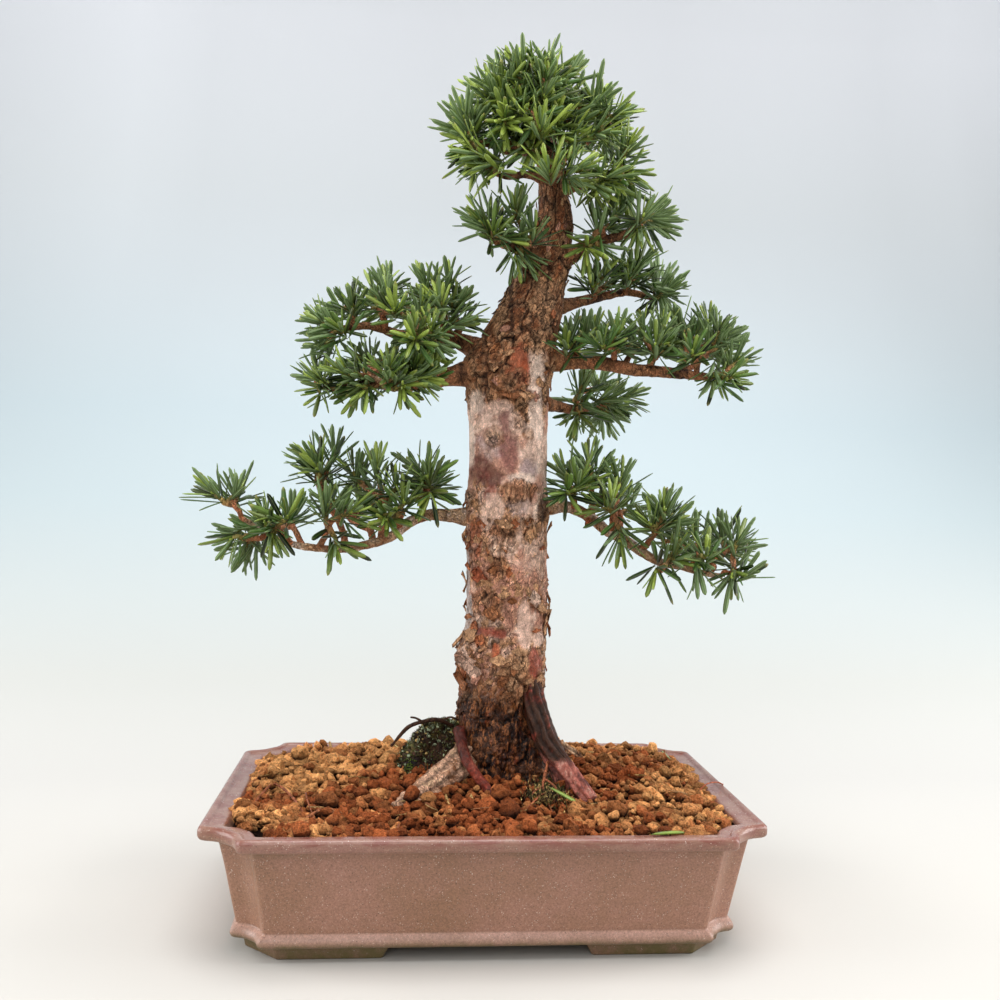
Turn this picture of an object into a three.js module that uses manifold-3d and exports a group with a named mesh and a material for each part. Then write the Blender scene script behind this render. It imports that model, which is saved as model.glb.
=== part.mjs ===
// A Japanese yew bonsai in a rectangular stoneware pot with notched corners.
// Millimetres, +Z up, +X along the pot's long side, +Y to the back.
// The origin is the middle of the pot's footprint, on the plane that its feet stand on.
import * as THREE from "three";
import { mergeVertices } from "three/addons/utils/BufferGeometryUtils.js";
import Module from "manifold-3d";

const wasm = await Module();
wasm.setup();

// Pot
const RIM_WIDTH = 269;
const RIM_DEPTH = 188;
const RIM_TOP = 62;
const FLANGE_BOTTOM = 55.5;
const BODY_BOTTOM = 6.5;
const CORNER_NOTCH = 21.7;
const FOOT_CHAMFER = 16.6;
const FOOT_INSET_TOP = 17.5;
const FOOT_INSET_BOTTOM = 19;
const FOOT_WALL = 11;
const FOOT_GAP_X = [50, 46];
const FOOT_GAP_Y = [32, 28];
const FLOOR_TOP = 13;
const FOOT_TOP = 7.5;
const DRAIN_HOLE_X = 62;
const DRAIN_HOLE_RADIUS = 11;

// How far a corner's middle is hollowed, as a share of its notch: 0.5 is a plain chamfer
const COVE = 0.62;
const CHAMFER = 0.5;

// Rows of the pot's section, as [inset from the rim's edge, height, size of the corner notch]
const POT_SECTION = [
  [20.5, BODY_BOTTOM, 14],
  [15.7, BODY_BOTTOM, 15],
  [13.5, 8.2, 15.5],
  [13.3, 10.6, 15.5],
  [15.1, 12.6, 15.5],
  [7.3, 54.2, 18],
  [6, FLANGE_BOTTOM, 19],
  [1, FLANGE_BOTTOM + 0.2, 21],
  [0, 57.2, CORNER_NOTCH],
  [0.2, 60.8, CORNER_NOTCH],
  [1.5, RIM_TOP, CORNER_NOTCH],
  [3.6, RIM_TOP - 0.2, 21],
  [4.4, 60.9, 20.2],
  [11, 60.5, 17],
  [12, 59.4, 16.5],
  [15, 50, 15],
  [23.5, FLOOR_TOP, 12],
];

// Rows of the soil's section inside the pot, with the same three values
const SOIL_SECTION = [
  [23.8, FLOOR_TOP + 0.3, 12],
  [15.3, 50, 15],
  [12.3, 59.4, 16.5],
  [11.7, 60.5, 16.8],
  [11.7, 90, 16.8],
];

// Drain mesh: a square of plastic net over each drain hole
const MESH_SIDE = 30;
const MESH_THICK = 1.2;
const MESH_HOLES = 3;
const MESH_HOLE_SIDE = 6;
const MESH_PITCH = 8.5;

// Gap between pieces that rest on each other
const GAP = 0.3;

// Soil: a bed filled to the rim and heaped towards the trunk's foot
const SOIL_EDGE_HEIGHT = 58.8;
const SOIL_HEAP = 14;
const HEAP_CENTRE = [12, 33];
const HEAP_SPREAD = [75, 45];
const HEAP_END_X = 121;
const HEAP_END_Y = 84;
const GRAIN_PITCH = 8.5;
const GRAIN_RELIEF = 2.2;
const GRAIN_HOLLOW = -0.6;

// Trunk: rows of [height, x, y, radius], from the buried stump to the leader
const TRUNK = [
  [40, 12, 15, 17],
  [50, 12, 15, 26],
  [63, 12, 15, 28.5],
  [72, 12, 15, 26.5],
  [82, 13, 15, 25.5],
  [93, 13, 15, 24.3],
  [105, 11.6, 15, 23.2],
  [118, 12.3, 15, 23.8],
  [132, 11.7, 15, 24.3],
  [149, 13.6, 15, 22.4],
  [171, 13.4, 15, 22.4],
  [193, 12.6, 15, 22.1],
  [215, 12.6, 15, 22],
  [237, 12.3, 15, 21.7],
  [259, 12, 15, 22],
  [276, 11.7, 15, 22.6],
  [289, 12.6, 15, 23.2],
  [298, 15.8, 15, 21.4],
  [309, 19, 15, 19.6],
  [325, 24.1, 15, 16.6],
  [337, 27.4, 15, 14.7],
  [347, 30.6, 15, 13.2],
  [359, 33.3, 15, 11.4],
  [370, 34.8, 15, 9.8],
  [381, 34.2, 15, 8.4],
  [391, 32.8, 15, 7.4],
  [402, 30, 14.4, 6.5],
];
const BURIED_ROWS = 6;
const TRUNK_SIDES = 12;
const BARK_RIDGE = 0.05;
const BARK_ROUGHNESS = 0.7;

// Surface roots, as points of [x, y, z, radius] from the trunk outwards
const ROOTS = [
  [[-3, 5, 78, 8.8], [-13, -7, 72, 8.4], [-24, -19, 67, 7.6], [-34, -29, 63, 6.2], [-44, -38, 58.5, 4.4]],
  [[-12, -2, 92, 3], [-9, -15, 80, 2.8], [-2.5, -22.5, 71.5, 2.6], [5.5, -29, 62, 2.2]],
  [[25, 3, 120, 4.8], [30.5, -8, 98, 5.8], [37, -16, 83, 5.6], [45, -25, 73, 5], [54.5, -35, 62, 4]],
  [[33, -6, 84, 3.2], [37, -17, 76, 2.9], [41, -27, 66, 2.5], [43, -33, 60, 2]],
  [[30, 18, 84, 6.2], [42, 20, 77, 5.6], [54, 24, 71, 4.4], [66, 27, 63, 3]],
  [[24, 32, 84, 6.6], [34, 46, 76, 5.6], [44, 58, 68, 4.2], [50, 66, 61, 3]],
  [[2, 32, 84, 6.6], [-10, 46, 76, 5.6], [-22, 58, 68, 4.2], [-30, 66, 61, 3]],
  [[-6, 16, 84, 6.4], [-22, 20, 77, 5.6], [-36, 22, 71, 4.6], [-50, 24, 62, 3.2]],
];
const ROOT_SIDES = 5;

// Branches, as points of [x, y, z, radius] from the trunk outwards
const BRANCHES = {
  lowerLeft: [
    [-4, 15, 205, 4.4], [-21, 12, 206, 3.4], [-31, 8, 206, 3], [-41, 3, 202, 2.8], [-50, -2, 195, 2.6],
    [-60, -5, 191, 2.4], [-74, -8, 188, 2.1], [-88, -9, 188, 1.9], [-102, -9, 190, 1.7],
    [-114, -8, 194, 1.5], [-126, -8, 202, 1.3],
  ],
  lowerRight: [
    [28, 15, 212, 4.4], [46, 10, 212, 3.3], [57, 5, 207, 3], [66, 1, 200, 2.9], [76, -3, 195, 2.8],
    [86, -6, 188, 2.5], [94, -8, 184, 2.3], [105, -9, 182, 2], [116, -9, 179, 1.7], [128, -9, 177, 1.3],
  ],
  midLeftLow: [
    [0, 13, 286, 6.5], [-21, 6, 281, 5], [-33, 0, 278, 4.2], [-45, -4, 275, 3.6], [-58, -8, 275, 3.2],
    [-71, -10, 273, 2.7], [-81, -11, 272, 2.2], [-88, -11, 273, 1.7],
  ],
  midLeftHigh: [
    [4, 22, 294, 6], [-15, 22, 302, 4.5], [-24, 20, 304, 3.8], [-33, 16, 304, 3.2], [-48, 10, 303, 2.8],
    [-57, 6, 305, 2.4], [-65, 1, 306, 2.1], [-75, -4, 304, 1.8], [-79, -7, 303, 1.5],
  ],
  midRight: [
    [24, 15, 293, 5.6], [50, 10, 292, 4.2], [62, 6, 291, 3.8], [77, 2, 288, 3.5], [90, -1, 287, 3.2],
    [103, -3, 286, 2.9], [112, -5, 285, 2.4], [121, -9, 284, 1.8],
  ],
  rightBack: [[28, 20, 270, 4], [45, 34, 268, 3], [57, 45, 268, 2.5], [69, 54, 272, 1.9]],
  rightUpper: [
    [30, 18, 320, 4], [55, 25, 328, 3], [68, 30, 332, 2.5], [81, 34, 335, 2.1], [94, 36, 333, 1.6],
  ],
  highRight: [
    [36, 14, 344, 4.2], [47, 8, 352, 3.4], [54, 5, 356, 2.9], [64, 2, 358, 2.5], [73, -1, 361, 2.1],
    [78, -3, 365, 1.7],
  ],
  highLeft: [
    [27, 10, 344, 4.4], [17, 1, 349, 3.4], [10, -4, 350, 2.8], [2, -7, 352, 2.3], [-5, -9, 355, 1.7],
  ],
  crownLowLeft: [[30, 13, 391, 2.6], [17, 5, 391, 2], [7, -1, 388, 1.7], [0, -5, 388, 1.3]],
  crownLeft: [[26, 14, 411, 5], [14, 9, 407, 4.4], [5, 4, 405, 3.6], [-4, -2, 405, 2.5], [-11, -6, 402, 1.6]],
  crownRight: [[32, 15, 400, 4], [44, 20, 410, 3.2], [54, 20, 417, 2.5], [61, 18, 426, 1.7]],
  crownLowRight: [[33, 15, 385, 4], [46, 14, 389, 3], [56, 10, 390, 2.4], [65, 5, 393, 1.6]],
  crownBack: [[31, 18, 400, 3.6], [35, 36, 417, 2.8], [37, 48, 432, 1.7]],
  crownFront: [[32, 14, 391, 3.2], [33, -2, 389, 2.4], [35, -14, 388, 1.6]],
  leader: [
    [31, 14.6, 398, 6.4], [24, 13, 413, 5.4], [18.5, 13, 424, 4.6], [17, 13, 433, 3.9],
    [19, 14, 443, 2.9], [23, 15, 450, 1.9],
  ],
};
const BRANCH_SIDES = 5;

// Cut stubs of pruned twigs, as [x, y, z, radius] from the branch outwards
const STUBS = [
  [[57, 5, 207, 1.6], [55, -1, 203, 1.4]],
  [[76, -3, 195, 1.6], [73, -9, 193, 1.4]],
  [[-20, 20, 303, 2.4], [-25, 15, 316, 1.8]],
];

// Twigs and needles
const TWIG_RADIUS = 1.3;
const TWIG_SIDES = 3;
const TWIG_FLARE = 1.25;
const STEM_RADIUS = 1.3;
const SHOOT_RADIUS = 1.1;
const SHOOT_TIP_RADIUS = 0.6;
const SHOOT_SIDES = 3;
const NEEDLE_LENGTH = 15;
const NEEDLE_WIDTH = 2.7;
const NEEDLE_THICK = 0.9;
const NEEDLE_WIDEST = 0.52;
const NEEDLE_BAND = 2;
const NEEDLE_SPACE = 3;
const NEEDLE_TRIES = 14;
const HIGH_LEAN = 0.9;
const LOW_LEAN = 1.25;
const BARE_FACES = 2;

// Sprays: a name, the branch, the place along its points, the fork of the spray's own stem,
// and its shoots as [x, y, z, the ways it faces: up, down, left, right, front, back]
const SPRAYS = [
  ["lower_left_tip", "lowerLeft", 10, [-133, -7, 210], [
    [-146, -10, 219, "ul"], [-132, 6, 220, "u"],
  ]],
  ["lower_left_tip_low", "lowerLeft", 9, [-125, -10, 193], [
    [-135, -16, 189, "ld"], [-131, -2, 196, "lb"], [-126, 0, 183, "d"],
  ]],
  ["lower_left_outer", "lowerLeft", 8, [-110, -14, 199], [
    [-103, -26, 207, "uf"], [-116, -16, 204, "uf"], [-111, -24, 192, "df"],
  ]],
  ["lower_left_middle", "lowerLeft", 7, [-83, -14, 200], [
    [-83, -20, 215, "u"], [-68, -28, 210, "rf"], [-77, -24, 187, "df"],
  ]],
  ["lower_left_high", "lowerLeft", 6, [-88, 6, 217], [
    [-97, 10, 238, "ul"], [-82, 18, 244, "u"], [-92, -6, 231, "lf"],
  ]],
  ["lower_left_inner", "lowerLeft", 4.6, [-55, 2, 212], [
    [-70, 14, 231, "u"], [-59, -6, 235, "u"], [-49, -14, 225, "uf"],
  ]],
  ["lower_left_shade", "lowerLeft", 3.4, [-46, -10, 208], [
    [-44, -22, 217, "uf"], [-54, -20, 204, "df"],
  ]],
  ["lower_left_near", "lowerLeft", 2.2, [-35, 6, 217], [
    [-33, -16, 231, "uf"], [-40, 14, 235, "ul"], [-24, 22, 226, "ur"], [-31, -14, 216, "df"],
  ]],
  ["lower_left_back_outer", "lowerLeft", 7.4, [-104, 16, 198], [
    [-106, 36, 207, "ub"], [-121, 26, 205, "ul"], [-127, 20, 194, "lb"],
  ]],
  ["lower_left_back_inner", "lowerLeft", 5, [-72, 16, 202], [
    [-83, 40, 216, "ub"], [-67, 32, 214, "u"], [-55, 44, 213, "rb"],
  ]],
  ["lower_right_near", "lowerRight", 1.2, [47, 4, 220], [
    [47, -12, 229, "uf"], [41, 8, 234, "ul"], [42, -18, 221, "f"],
  ]],
  ["lower_right_high", "lowerRight", 2.3, [58, 6, 223], [
    [55, 6, 242, "u"], [66, 16, 236, "ur"],
  ]],
  ["lower_right_inner", "lowerRight", 3.2, [69, -4, 211], [
    [66, -16, 220, "uf"], [74, 4, 232, "u"], [70, -14, 191, "d"],
  ]],
  ["lower_right_middle", "lowerRight", 4.6, [90, -12, 200], [
    [93, -18, 217, "u"], [83, -24, 208, "lf"], [104, -6, 210, "ur"],
  ]],
  ["lower_right_low", "lowerRight", 6, [93, -12, 180], [
    [89, -18, 177, "df"], [103, -14, 196, "ur"],
  ]],
  ["lower_right_outer", "lowerRight", 7.4, [114, -14, 187], [
    [114, -28, 193, "uf"], [117, 4, 200, "u"], [115, -18, 177, "dr"],
  ]],
  ["lower_right_tip", "lowerRight", 9, [134, -10, 180], [
    [141, -18, 182, "rf"], [138, -10, 202, "ur"], [132, -8, 171, "d"],
  ]],
  ["lower_right_tip_high", "lowerRight", 8.3, [129, -4, 188], [
    [130, 4, 205, "u"], [142, 6, 191, "r"],
  ]],
  ["lower_right_back_inner", "lowerRight", 3.6, [76, 18, 209], [
    [85, 32, 215, "ub"], [70, 36, 218, "lb"],
  ]],
  ["lower_right_back_outer", "lowerRight", 6.4, [110, 14, 191], [
    [115, 28, 203, "ub"], [132, 26, 195, "rb"], [103, 34, 197, "b"],
  ]],
  ["middle_left_low_tip", "midLeftLow", 7, [-90, -12, 274], [
    [-91, -16, 276, "l"], [-94, 4, 284, "ul"],
  ]],
  ["middle_left_low_inner", "midLeftLow", 3.6, [-52, -13, 273], [
    [-44, -22, 272, "df"], [-55, -26, 284, "uf"], [-31, -12, 278, "rd"], [-71, -16, 266, "d"],
    [-81, -24, 281, "lf"],
  ]],
  ["middle_left_tip", "midLeftHigh", 8, [-81, -10, 302], [
    [-80, -22, 303, "lf"], [-93, -4, 296, "l"], [-90, 4, 311, "ul"],
  ]],
  ["middle_left_high_outer", "midLeftHigh", 7, [-72, 0, 312], [
    [-75, -8, 319, "u"], [-86, 18, 320, "ul"],
  ]],
  ["middle_left_crest", "midLeftHigh", 5, [-58, 2, 314], [
    [-52, -20, 315, "uf"], [-66, 10, 329, "ul"], [-55, 16, 337, "u"],
  ]],
  ["middle_left_front", "midLeftHigh", 3.4, [-39, -6, 304], [
    [-43, -28, 298, "f"], [-32, -18, 307, "uf"], [-36, -6, 319, "u"],
  ]],
  ["middle_left_peak", "midLeftHigh", 2, [-29, 14, 319], [
    [-36, 10, 336, "ul"], [-22, 22, 341, "u"], [-29, -6, 324, "uf"],
  ]],
  ["middle_left_inner", "midLeftHigh", 1.4, [-18, 18, 312], [
    [-14, 12, 326, "ur"], [-14, 0, 310, "r"],
  ]],
  ["middle_left_back_high", "midLeftHigh", 3, [-41, 32, 315], [
    [-46, 48, 328, "ub"], [-26, 50, 329, "ub"], [-62, 38, 324, "lb"],
  ]],
  ["middle_left_back_low", "midLeftLow", 4.4, [-63, 10, 285], [
    [-70, 28, 296, "ul"], [-53, 36, 294, "b"], [-78, 30, 287, "l"],
  ]],
  ["middle_right_tip", "midRight", 7, [126, -13, 286], [
    [127, -22, 283, "rf"], [136, -8, 298, "ur"], [119, -14, 280, "d"],
  ]],
  ["middle_right_outer", "midRight", 6, [115, -8, 295], [
    [104, -24, 299, "uf"], [125, -4, 310, "ur"],
  ]],
  ["middle_right_top", "midRight", 5.2, [109, 6, 300], [
    [121, 8, 320, "u"], [106, 14, 319, "u"], [136, 16, 312, "ur"],
  ]],
  ["middle_right_middle", "midRight", 3.8, [89, -4, 294], [
    [86, -16, 303, "uf"], [83, 8, 315, "u"], [95, -2, 315, "u"],
  ]],
  ["middle_right_inner", "midRight", 2.4, [67, 2, 299], [
    [69, -6, 311, "u"], [56, -20, 301, "uf"],
  ]],
  ["middle_right_near", "midRight", 1, [48, 8, 299], [
    [41, -8, 301, "uf"], [58, 12, 314, "u"], [45, 14, 310, "u"],
  ]],
  ["middle_right_back_inner", "midRight", 2.8, [82, 22, 299], [
    [90, 38, 309, "ub"], [73, 40, 311, "ub"],
  ]],
  ["middle_right_back_outer", "midRight", 5.6, [116, 16, 297], [
    [127, 34, 308, "ub"], [110, 38, 306, "b"], [138, 22, 302, "rb"],
  ]],
  ["behind_trunk_outer", "rightBack", 3, [74, 56, 274], [
    [75, 42, 276, "r"], [92, 60, 279, "r"], [81, 70, 269, "rb"], [70, 65, 263, "db"],
  ]],
  ["behind_trunk_inner", "rightBack", 1.8, [53, 37, 273], [
    [56, 31, 281, "uf"], [54, 34, 262, "df"], [71, 72, 287, "ub"],
  ]],
  ["upper_right_inner", "rightUpper", 1.2, [61, 22, 333], [
    [56, 8, 337, "uf"], [72, 32, 346, "u"],
  ]],
  ["upper_right_middle", "rightUpper", 2.6, [82, 28, 340], [
    [88, 22, 353, "ur"], [77, 10, 343, "uf"],
  ]],
  ["upper_right_tip", "rightUpper", 4, [98, 36, 334], [
    [106, 26, 338, "r"], [102, 38, 330, "d"], [100, 46, 347, "ub"],
  ]],
  ["high_right_tip", "highRight", 5, [80, -4, 367], [
    [81, -12, 372, "ur"], [92, 4, 369, "r"], [77, -6, 358, "d"],
  ]],
  ["high_right_inner", "highRight", 2.4, [58, -3, 361], [
    [68, 10, 373, "u"], [49, -8, 348, "df"], [56, 2, 368, "u"],
  ]],
  ["high_left_tip", "highLeft", 4, [-6, -10, 357], [
    [-11, -14, 363, "ul"], [0, 2, 370, "u"], [0, -20, 356, "f"],
  ]],
  ["high_left_near", "highLeft", 1, [16, -6, 350], [
    [21, -16, 360, "uf"], [10, -6, 373, "u"], [12, -10, 340, "d"],
  ]],
  ["crown_low_left", "crownLowLeft", 3, [-3, -7, 388], [
    [-7, -16, 389, "ld"], [-9, 4, 398, "l"],
  ]],
  ["crown_left", "crownLeft", 4, [-13, -6, 403], [
    [-17, -16, 396, "l"], [-19, -4, 412, "ul"], [-19, -8, 420, "ul"], [-7, 10, 423, "u"],
  ]],
  ["crown_front", "crownFront", 2, [35, -16, 388], [
    [24, -30, 388, "uf"], [42, -26, 389, "urf"],
  ]],
  ["crown_low_right", "crownLowRight", 3, [68, 4, 396], [
    [72, -2, 406, "ur"], [65, -12, 390, "r"], [57, -8, 381, "rd"], [72, 6, 379, "d"],
  ]],
  ["crown_right", "crownRight", 3, [63, 17, 430], [
    [60, 6, 431, "ur"], [62, -6, 413, "r"], [61, 34, 443, "u"], [68, 34, 420, "rb"],
  ]],
  ["crown_top", "leader", 5, [25, 14, 454], [
    [28, 6, 450, "u"], [13, 4, 452, "u"], [42, 10, 449, "ur"], [26, -14, 431, "uf"],
  ]],
  ["crown_top_left", "leader", 4.5, [10, 4, 432], [
    [-5, -4, 437, "ul"], [5, 14, 450, "u"], [3, -20, 413, "f"], [21, -24, 412, "uf"],
  ]],
  ["crown_back", "crownBack", 2, [35, 50, 438], [
    [31, 42, 450, "u"], [47, 64, 441, "rb"], [15, 48, 443, "ul"], [22, 58, 424, "b"],
  ]],
];

const UP = new THREE.Vector3(0, 0, 1);
const RIGHT = new THREE.Vector3(1, 0, 0);
const BACK = new THREE.Vector3(0, 1, 0);
const WAYS = {
  u: UP,
  d: UP.clone().negate(),
  l: RIGHT.clone().negate(),
  r: RIGHT,
  f: BACK.clone().negate(),
  b: BACK,
};

// A repeatable draw between 0 and 1 for any number.
function draw(seed) {
  const value = Math.sin(seed * 12.9898 + 4.1414) * 43758.5453;
  return value - Math.floor(value);
}

function point(list) {
  return new THREE.Vector3(list[0], list[1], list[2]);
}

// Solids

// A closed surface as a solid for joining and cutting.
function solidOf(geometry) {
  const bare = geometry.clone();
  bare.deleteAttribute("normal");
  bare.deleteAttribute("uv");
  const merged = mergeVertices(bare, 1e-4);
  return new wasm.Manifold(
    new wasm.Mesh({
      numProp: 3,
      vertProperties: new Float32Array(merged.attributes.position.array),
      triVerts: new Uint32Array(merged.index.array),
    }),
  );
}

function geometryOf(solid) {
  const mesh = solid.getMesh();
  const positions = new Float32Array(mesh.numVert * 3);
  for (let i = 0; i < mesh.numVert; i++) {
    positions.set(mesh.vertProperties.subarray(i * mesh.numProp, i * mesh.numProp + 3), i * 3);
  }
  const geometry = new THREE.BufferGeometry();
  geometry.setAttribute("position", new THREE.BufferAttribute(positions, 3));
  geometry.setIndex(new THREE.BufferAttribute(new Uint32Array(mesh.triVerts), 1));
  return geometry;
}

function joined(solids) {
  return solids.reduce((sum, solid) => sum.add(solid));
}

// The largest body of a solid, without loose scraps.
function mainBody(solid) {
  const bodies = solid.decompose();
  return bodies.reduce((best, body) => (body.volume() > best.volume() ? body : best));
}

// Triangles that close the end of a loft, seen from beyond that end.
function capFaces(ring) {
  const normal = new THREE.Vector3();
  ring.forEach((p, i) => normal.add(new THREE.Vector3().crossVectors(p, ring[(i + 1) % ring.length])));
  normal.normalize();
  const across = new THREE.Vector3().subVectors(ring[1], ring[0]).normalize();
  const along = new THREE.Vector3().crossVectors(normal, across);
  const flat = ring.map((p) => new THREE.Vector2(p.dot(across), p.dot(along)));
  return THREE.ShapeUtils.triangulateShape(flat, []);
}

// A closed solid through rings of points. Each ring runs anticlockwise, seen from the last ring.
function loft(rings) {
  const count = rings[0].length;
  const index = [];
  for (let row = 0; row < rings.length - 1; row++) {
    for (let i = 0; i < count; i++) {
      const a = row * count + i;
      const b = row * count + ((i + 1) % count);
      index.push(a, b, b + count, a, b + count, a + count);
    }
  }
  const last = (rings.length - 1) * count;
  capFaces(rings[0]).forEach(([a, b, c]) => index.push(a, c, b));
  capFaces(rings[rings.length - 1]).forEach(([a, b, c]) => index.push(last + a, last + b, last + c));
  const geometry = new THREE.BufferGeometry();
  const positions = rings.flat().flatMap((p) => [p.x, p.y, p.z]);
  geometry.setAttribute("position", new THREE.Float32BufferAttribute(positions, 3));
  geometry.setIndex(index);
  return solidOf(geometry);
}

// A tapered tube through points of [x, y, z, radius], with flat ends square to the line.
function tube(path, sides, grow = 0) {
  const points = path.map(point);
  const last = points.length - 1;
  const start = new THREE.Vector3().subVectors(points[1], points[0]).normalize();
  let side = new THREE.Vector3(0, 0, 1);
  if (Math.abs(start.z) > 0.8) side = new THREE.Vector3(1, 0, 0);
  const rings = points.map((centre, i) => {
    const before = points[Math.max(i - 1, 0)];
    const after = points[Math.min(i + 1, last)];
    const way = new THREE.Vector3().subVectors(after, before).normalize();
    side.addScaledVector(way, -side.dot(way)).normalize();
    const other = new THREE.Vector3().crossVectors(way, side);
    const radius = path[i][3] + grow;
    return Array.from({ length: sides }, (_, k) => {
      const angle = (k / sides) * 2 * Math.PI;
      return centre
        .clone()
        .addScaledVector(side, radius * Math.cos(angle))
        .addScaledVector(other, radius * Math.sin(angle));
    });
  });
  return loft(rings);
}

function box(width, depth, height, x, y, z) {
  const geometry = new THREE.BoxGeometry(width, depth, height);
  geometry.translate(x, y, z);
  return solidOf(geometry);
}

// Pot

// The outline of a rectangle whose corners are hollowed, anticlockwise from above.
function notchedOutline(halfX, halfY, notch, hollow, z) {
  const corner = [
    [0, notch],
    [notch * 0.33, notch * (1.66 - 2 * hollow * 0.66)],
    [notch * hollow, notch * hollow],
    [notch * (1.66 - 2 * hollow * 0.66), notch * 0.33],
    [notch, 0],
  ];
  const points = [];
  const quarters = [[1, -1, true], [1, 1, false], [-1, 1, true], [-1, -1, false]];
  for (const [signX, signY, fromY] of quarters) {
    const walk = fromY ? [...corner].reverse() : corner;
    for (const [inX, inY] of walk) {
      points.push(new THREE.Vector3(signX * (halfX - inX), signY * (halfY - inY), z));
    }
  }
  return points;
}

function potOutline([inset, z, notch], hollow = COVE) {
  return notchedOutline(RIM_WIDTH / 2 - inset, RIM_DEPTH / 2 - inset, notch, hollow, z);
}

// One slab that opens the gap between two feet, narrower at its top.
function footGap(bottomHalf, topHalf, alongX) {
  const far = 150;
  const rows = [[bottomHalf + 1, -2], [bottomHalf, 0], [topHalf, BODY_BOTTOM]];
  const rings = rows.map(([half, z]) => {
    const x = alongX ? half : far;
    const y = alongX ? far : half;
    return [[-x, -y], [x, -y], [x, y], [-x, y]].map(([px, py]) => new THREE.Vector3(px, py, z));
  });
  return loft(rings);
}

function buildFeet() {
  const outer = loft([
    potOutline([FOOT_INSET_BOTTOM, 0, FOOT_CHAMFER], CHAMFER),
    potOutline([FOOT_INSET_TOP, FOOT_TOP, FOOT_CHAMFER], CHAMFER),
  ]);
  const inset = FOOT_INSET_BOTTOM + FOOT_WALL;
  const inner = loft([
    potOutline([inset, -2, FOOT_CHAMFER - 4], CHAMFER),
    potOutline([inset, BODY_BOTTOM, FOOT_CHAMFER - 4], CHAMFER),
  ]);
  return outer
    .subtract(inner)
    .subtract(footGap(FOOT_GAP_X[0], FOOT_GAP_X[1], true))
    .subtract(footGap(FOOT_GAP_Y[0], FOOT_GAP_Y[1], false));
}

function drainHole(x) {
  const geometry = new THREE.CylinderGeometry(DRAIN_HOLE_RADIUS, DRAIN_HOLE_RADIUS, 30, 16);
  geometry.rotateX(Math.PI / 2);
  geometry.translate(x, 0, FLOOR_TOP);
  return solidOf(geometry);
}

function buildPot() {
  const body = loft(POT_SECTION.map((row) => potOutline(row)));
  return body.add(buildFeet()).subtract(drainHole(-DRAIN_HOLE_X)).subtract(drainHole(DRAIN_HOLE_X));
}

// A square of net over a drain hole.
function buildDrainMesh(x) {
  const z = FLOOR_TOP + GAP + MESH_THICK / 2;
  const middle = (MESH_HOLES - 1) / 2;
  let net = box(MESH_SIDE, MESH_SIDE, MESH_THICK, x, 0, z);
  for (let row = 0; row < MESH_HOLES; row++) {
    for (let column = 0; column < MESH_HOLES; column++) {
      const holeX = x + (column - middle) * MESH_PITCH;
      const holeY = (row - middle) * MESH_PITCH;
      net = net.subtract(box(MESH_HOLE_SIDE, MESH_HOLE_SIDE, MESH_THICK * 2, holeX, holeY, z));
    }
  }
  return net;
}

// Wood

// The trunk's ring at one row, with ridges of bark that wind slowly upwards.
function trunkRing([z, x, y, radius], row, grow) {
  return Array.from({ length: TRUNK_SIDES }, (_, i) => {
    const angle = (i / TRUNK_SIDES) * 2 * Math.PI;
    const coarse = Math.sin(4 * angle + z / 35);
    const fine = Math.sin(3 * angle - z / 21);
    const ridge = BARK_RIDGE * (coarse + 0.5 * fine);
    const rough = BARK_ROUGHNESS * (draw(row * 31 + i) - 0.5);
    const r = radius * (1 + ridge) + rough * Math.min(1, radius / 20) + grow;
    return new THREE.Vector3(x + r * Math.cos(angle), y + r * Math.sin(angle), z);
  });
}

function buildTrunk(rows, grow = 0) {
  return loft(rows.map((row, i) => trunkRing(row, i, grow)));
}

// The place on a branch at a number of points along it, with its radius.
function branchPlace(name, place) {
  const path = BRANCHES[name];
  const i = Math.min(Math.floor(place), path.length - 2);
  const share = place - i;
  const at = point(path[i]).lerp(point(path[i + 1]), share);
  return { at, radius: path[i][3] * (1 - share) + path[i + 1][3] * share, isEnd: place >= path.length - 1 };
}

// Where the wood of a spray's twig ends and the spray's own stem begins. At a branch's own end the
// stem stands further off the more it turns, so that the two end faces keep their gap.
function sprayJoint(branch, place, fork) {
  const { at, radius, isEnd } = branchPlace(branch, place);
  const away = new THREE.Vector3().subVectors(fork, at);
  const length = away.length();
  away.normalize();
  if (isEnd) {
    const path = BRANCHES[branch];
    const way = new THREE.Vector3().subVectors(at, point(path[path.length - 2])).normalize();
    const stand = GAP + STEM_RADIUS * Math.sin(way.angleTo(away));
    return { at, woodEnd: null, start: at.clone().addScaledVector(way, stand) };
  }
  const reach = Math.min(length - 0.8, Math.max(length * 0.5, radius + 1.4));
  const woodEnd = at.clone().addScaledVector(away, reach);
  return { at, woodEnd, start: at.clone().addScaledVector(away, reach + GAP) };
}

function twigPath({ at, woodEnd }) {
  return [[...at.toArray(), TWIG_RADIUS * TWIG_FLARE], [...woodEnd.toArray(), TWIG_RADIUS]];
}

function buildWood(joints) {
  const pieces = [buildTrunk(TRUNK)];
  ROOTS.forEach((path) => pieces.push(tube(path, ROOT_SIDES)));
  Object.values(BRANCHES).forEach((path) => pieces.push(tube(path, BRANCH_SIDES)));
  STUBS.forEach((path) => pieces.push(tube(path, TWIG_SIDES)));
  const twigs = joints.filter((joint) => joint.woodEnd);
  twigs.forEach((joint) => pieces.push(tube(twigPath(joint), TWIG_SIDES)));
  return mainBody(joined(pieces));
}

// Soil

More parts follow.
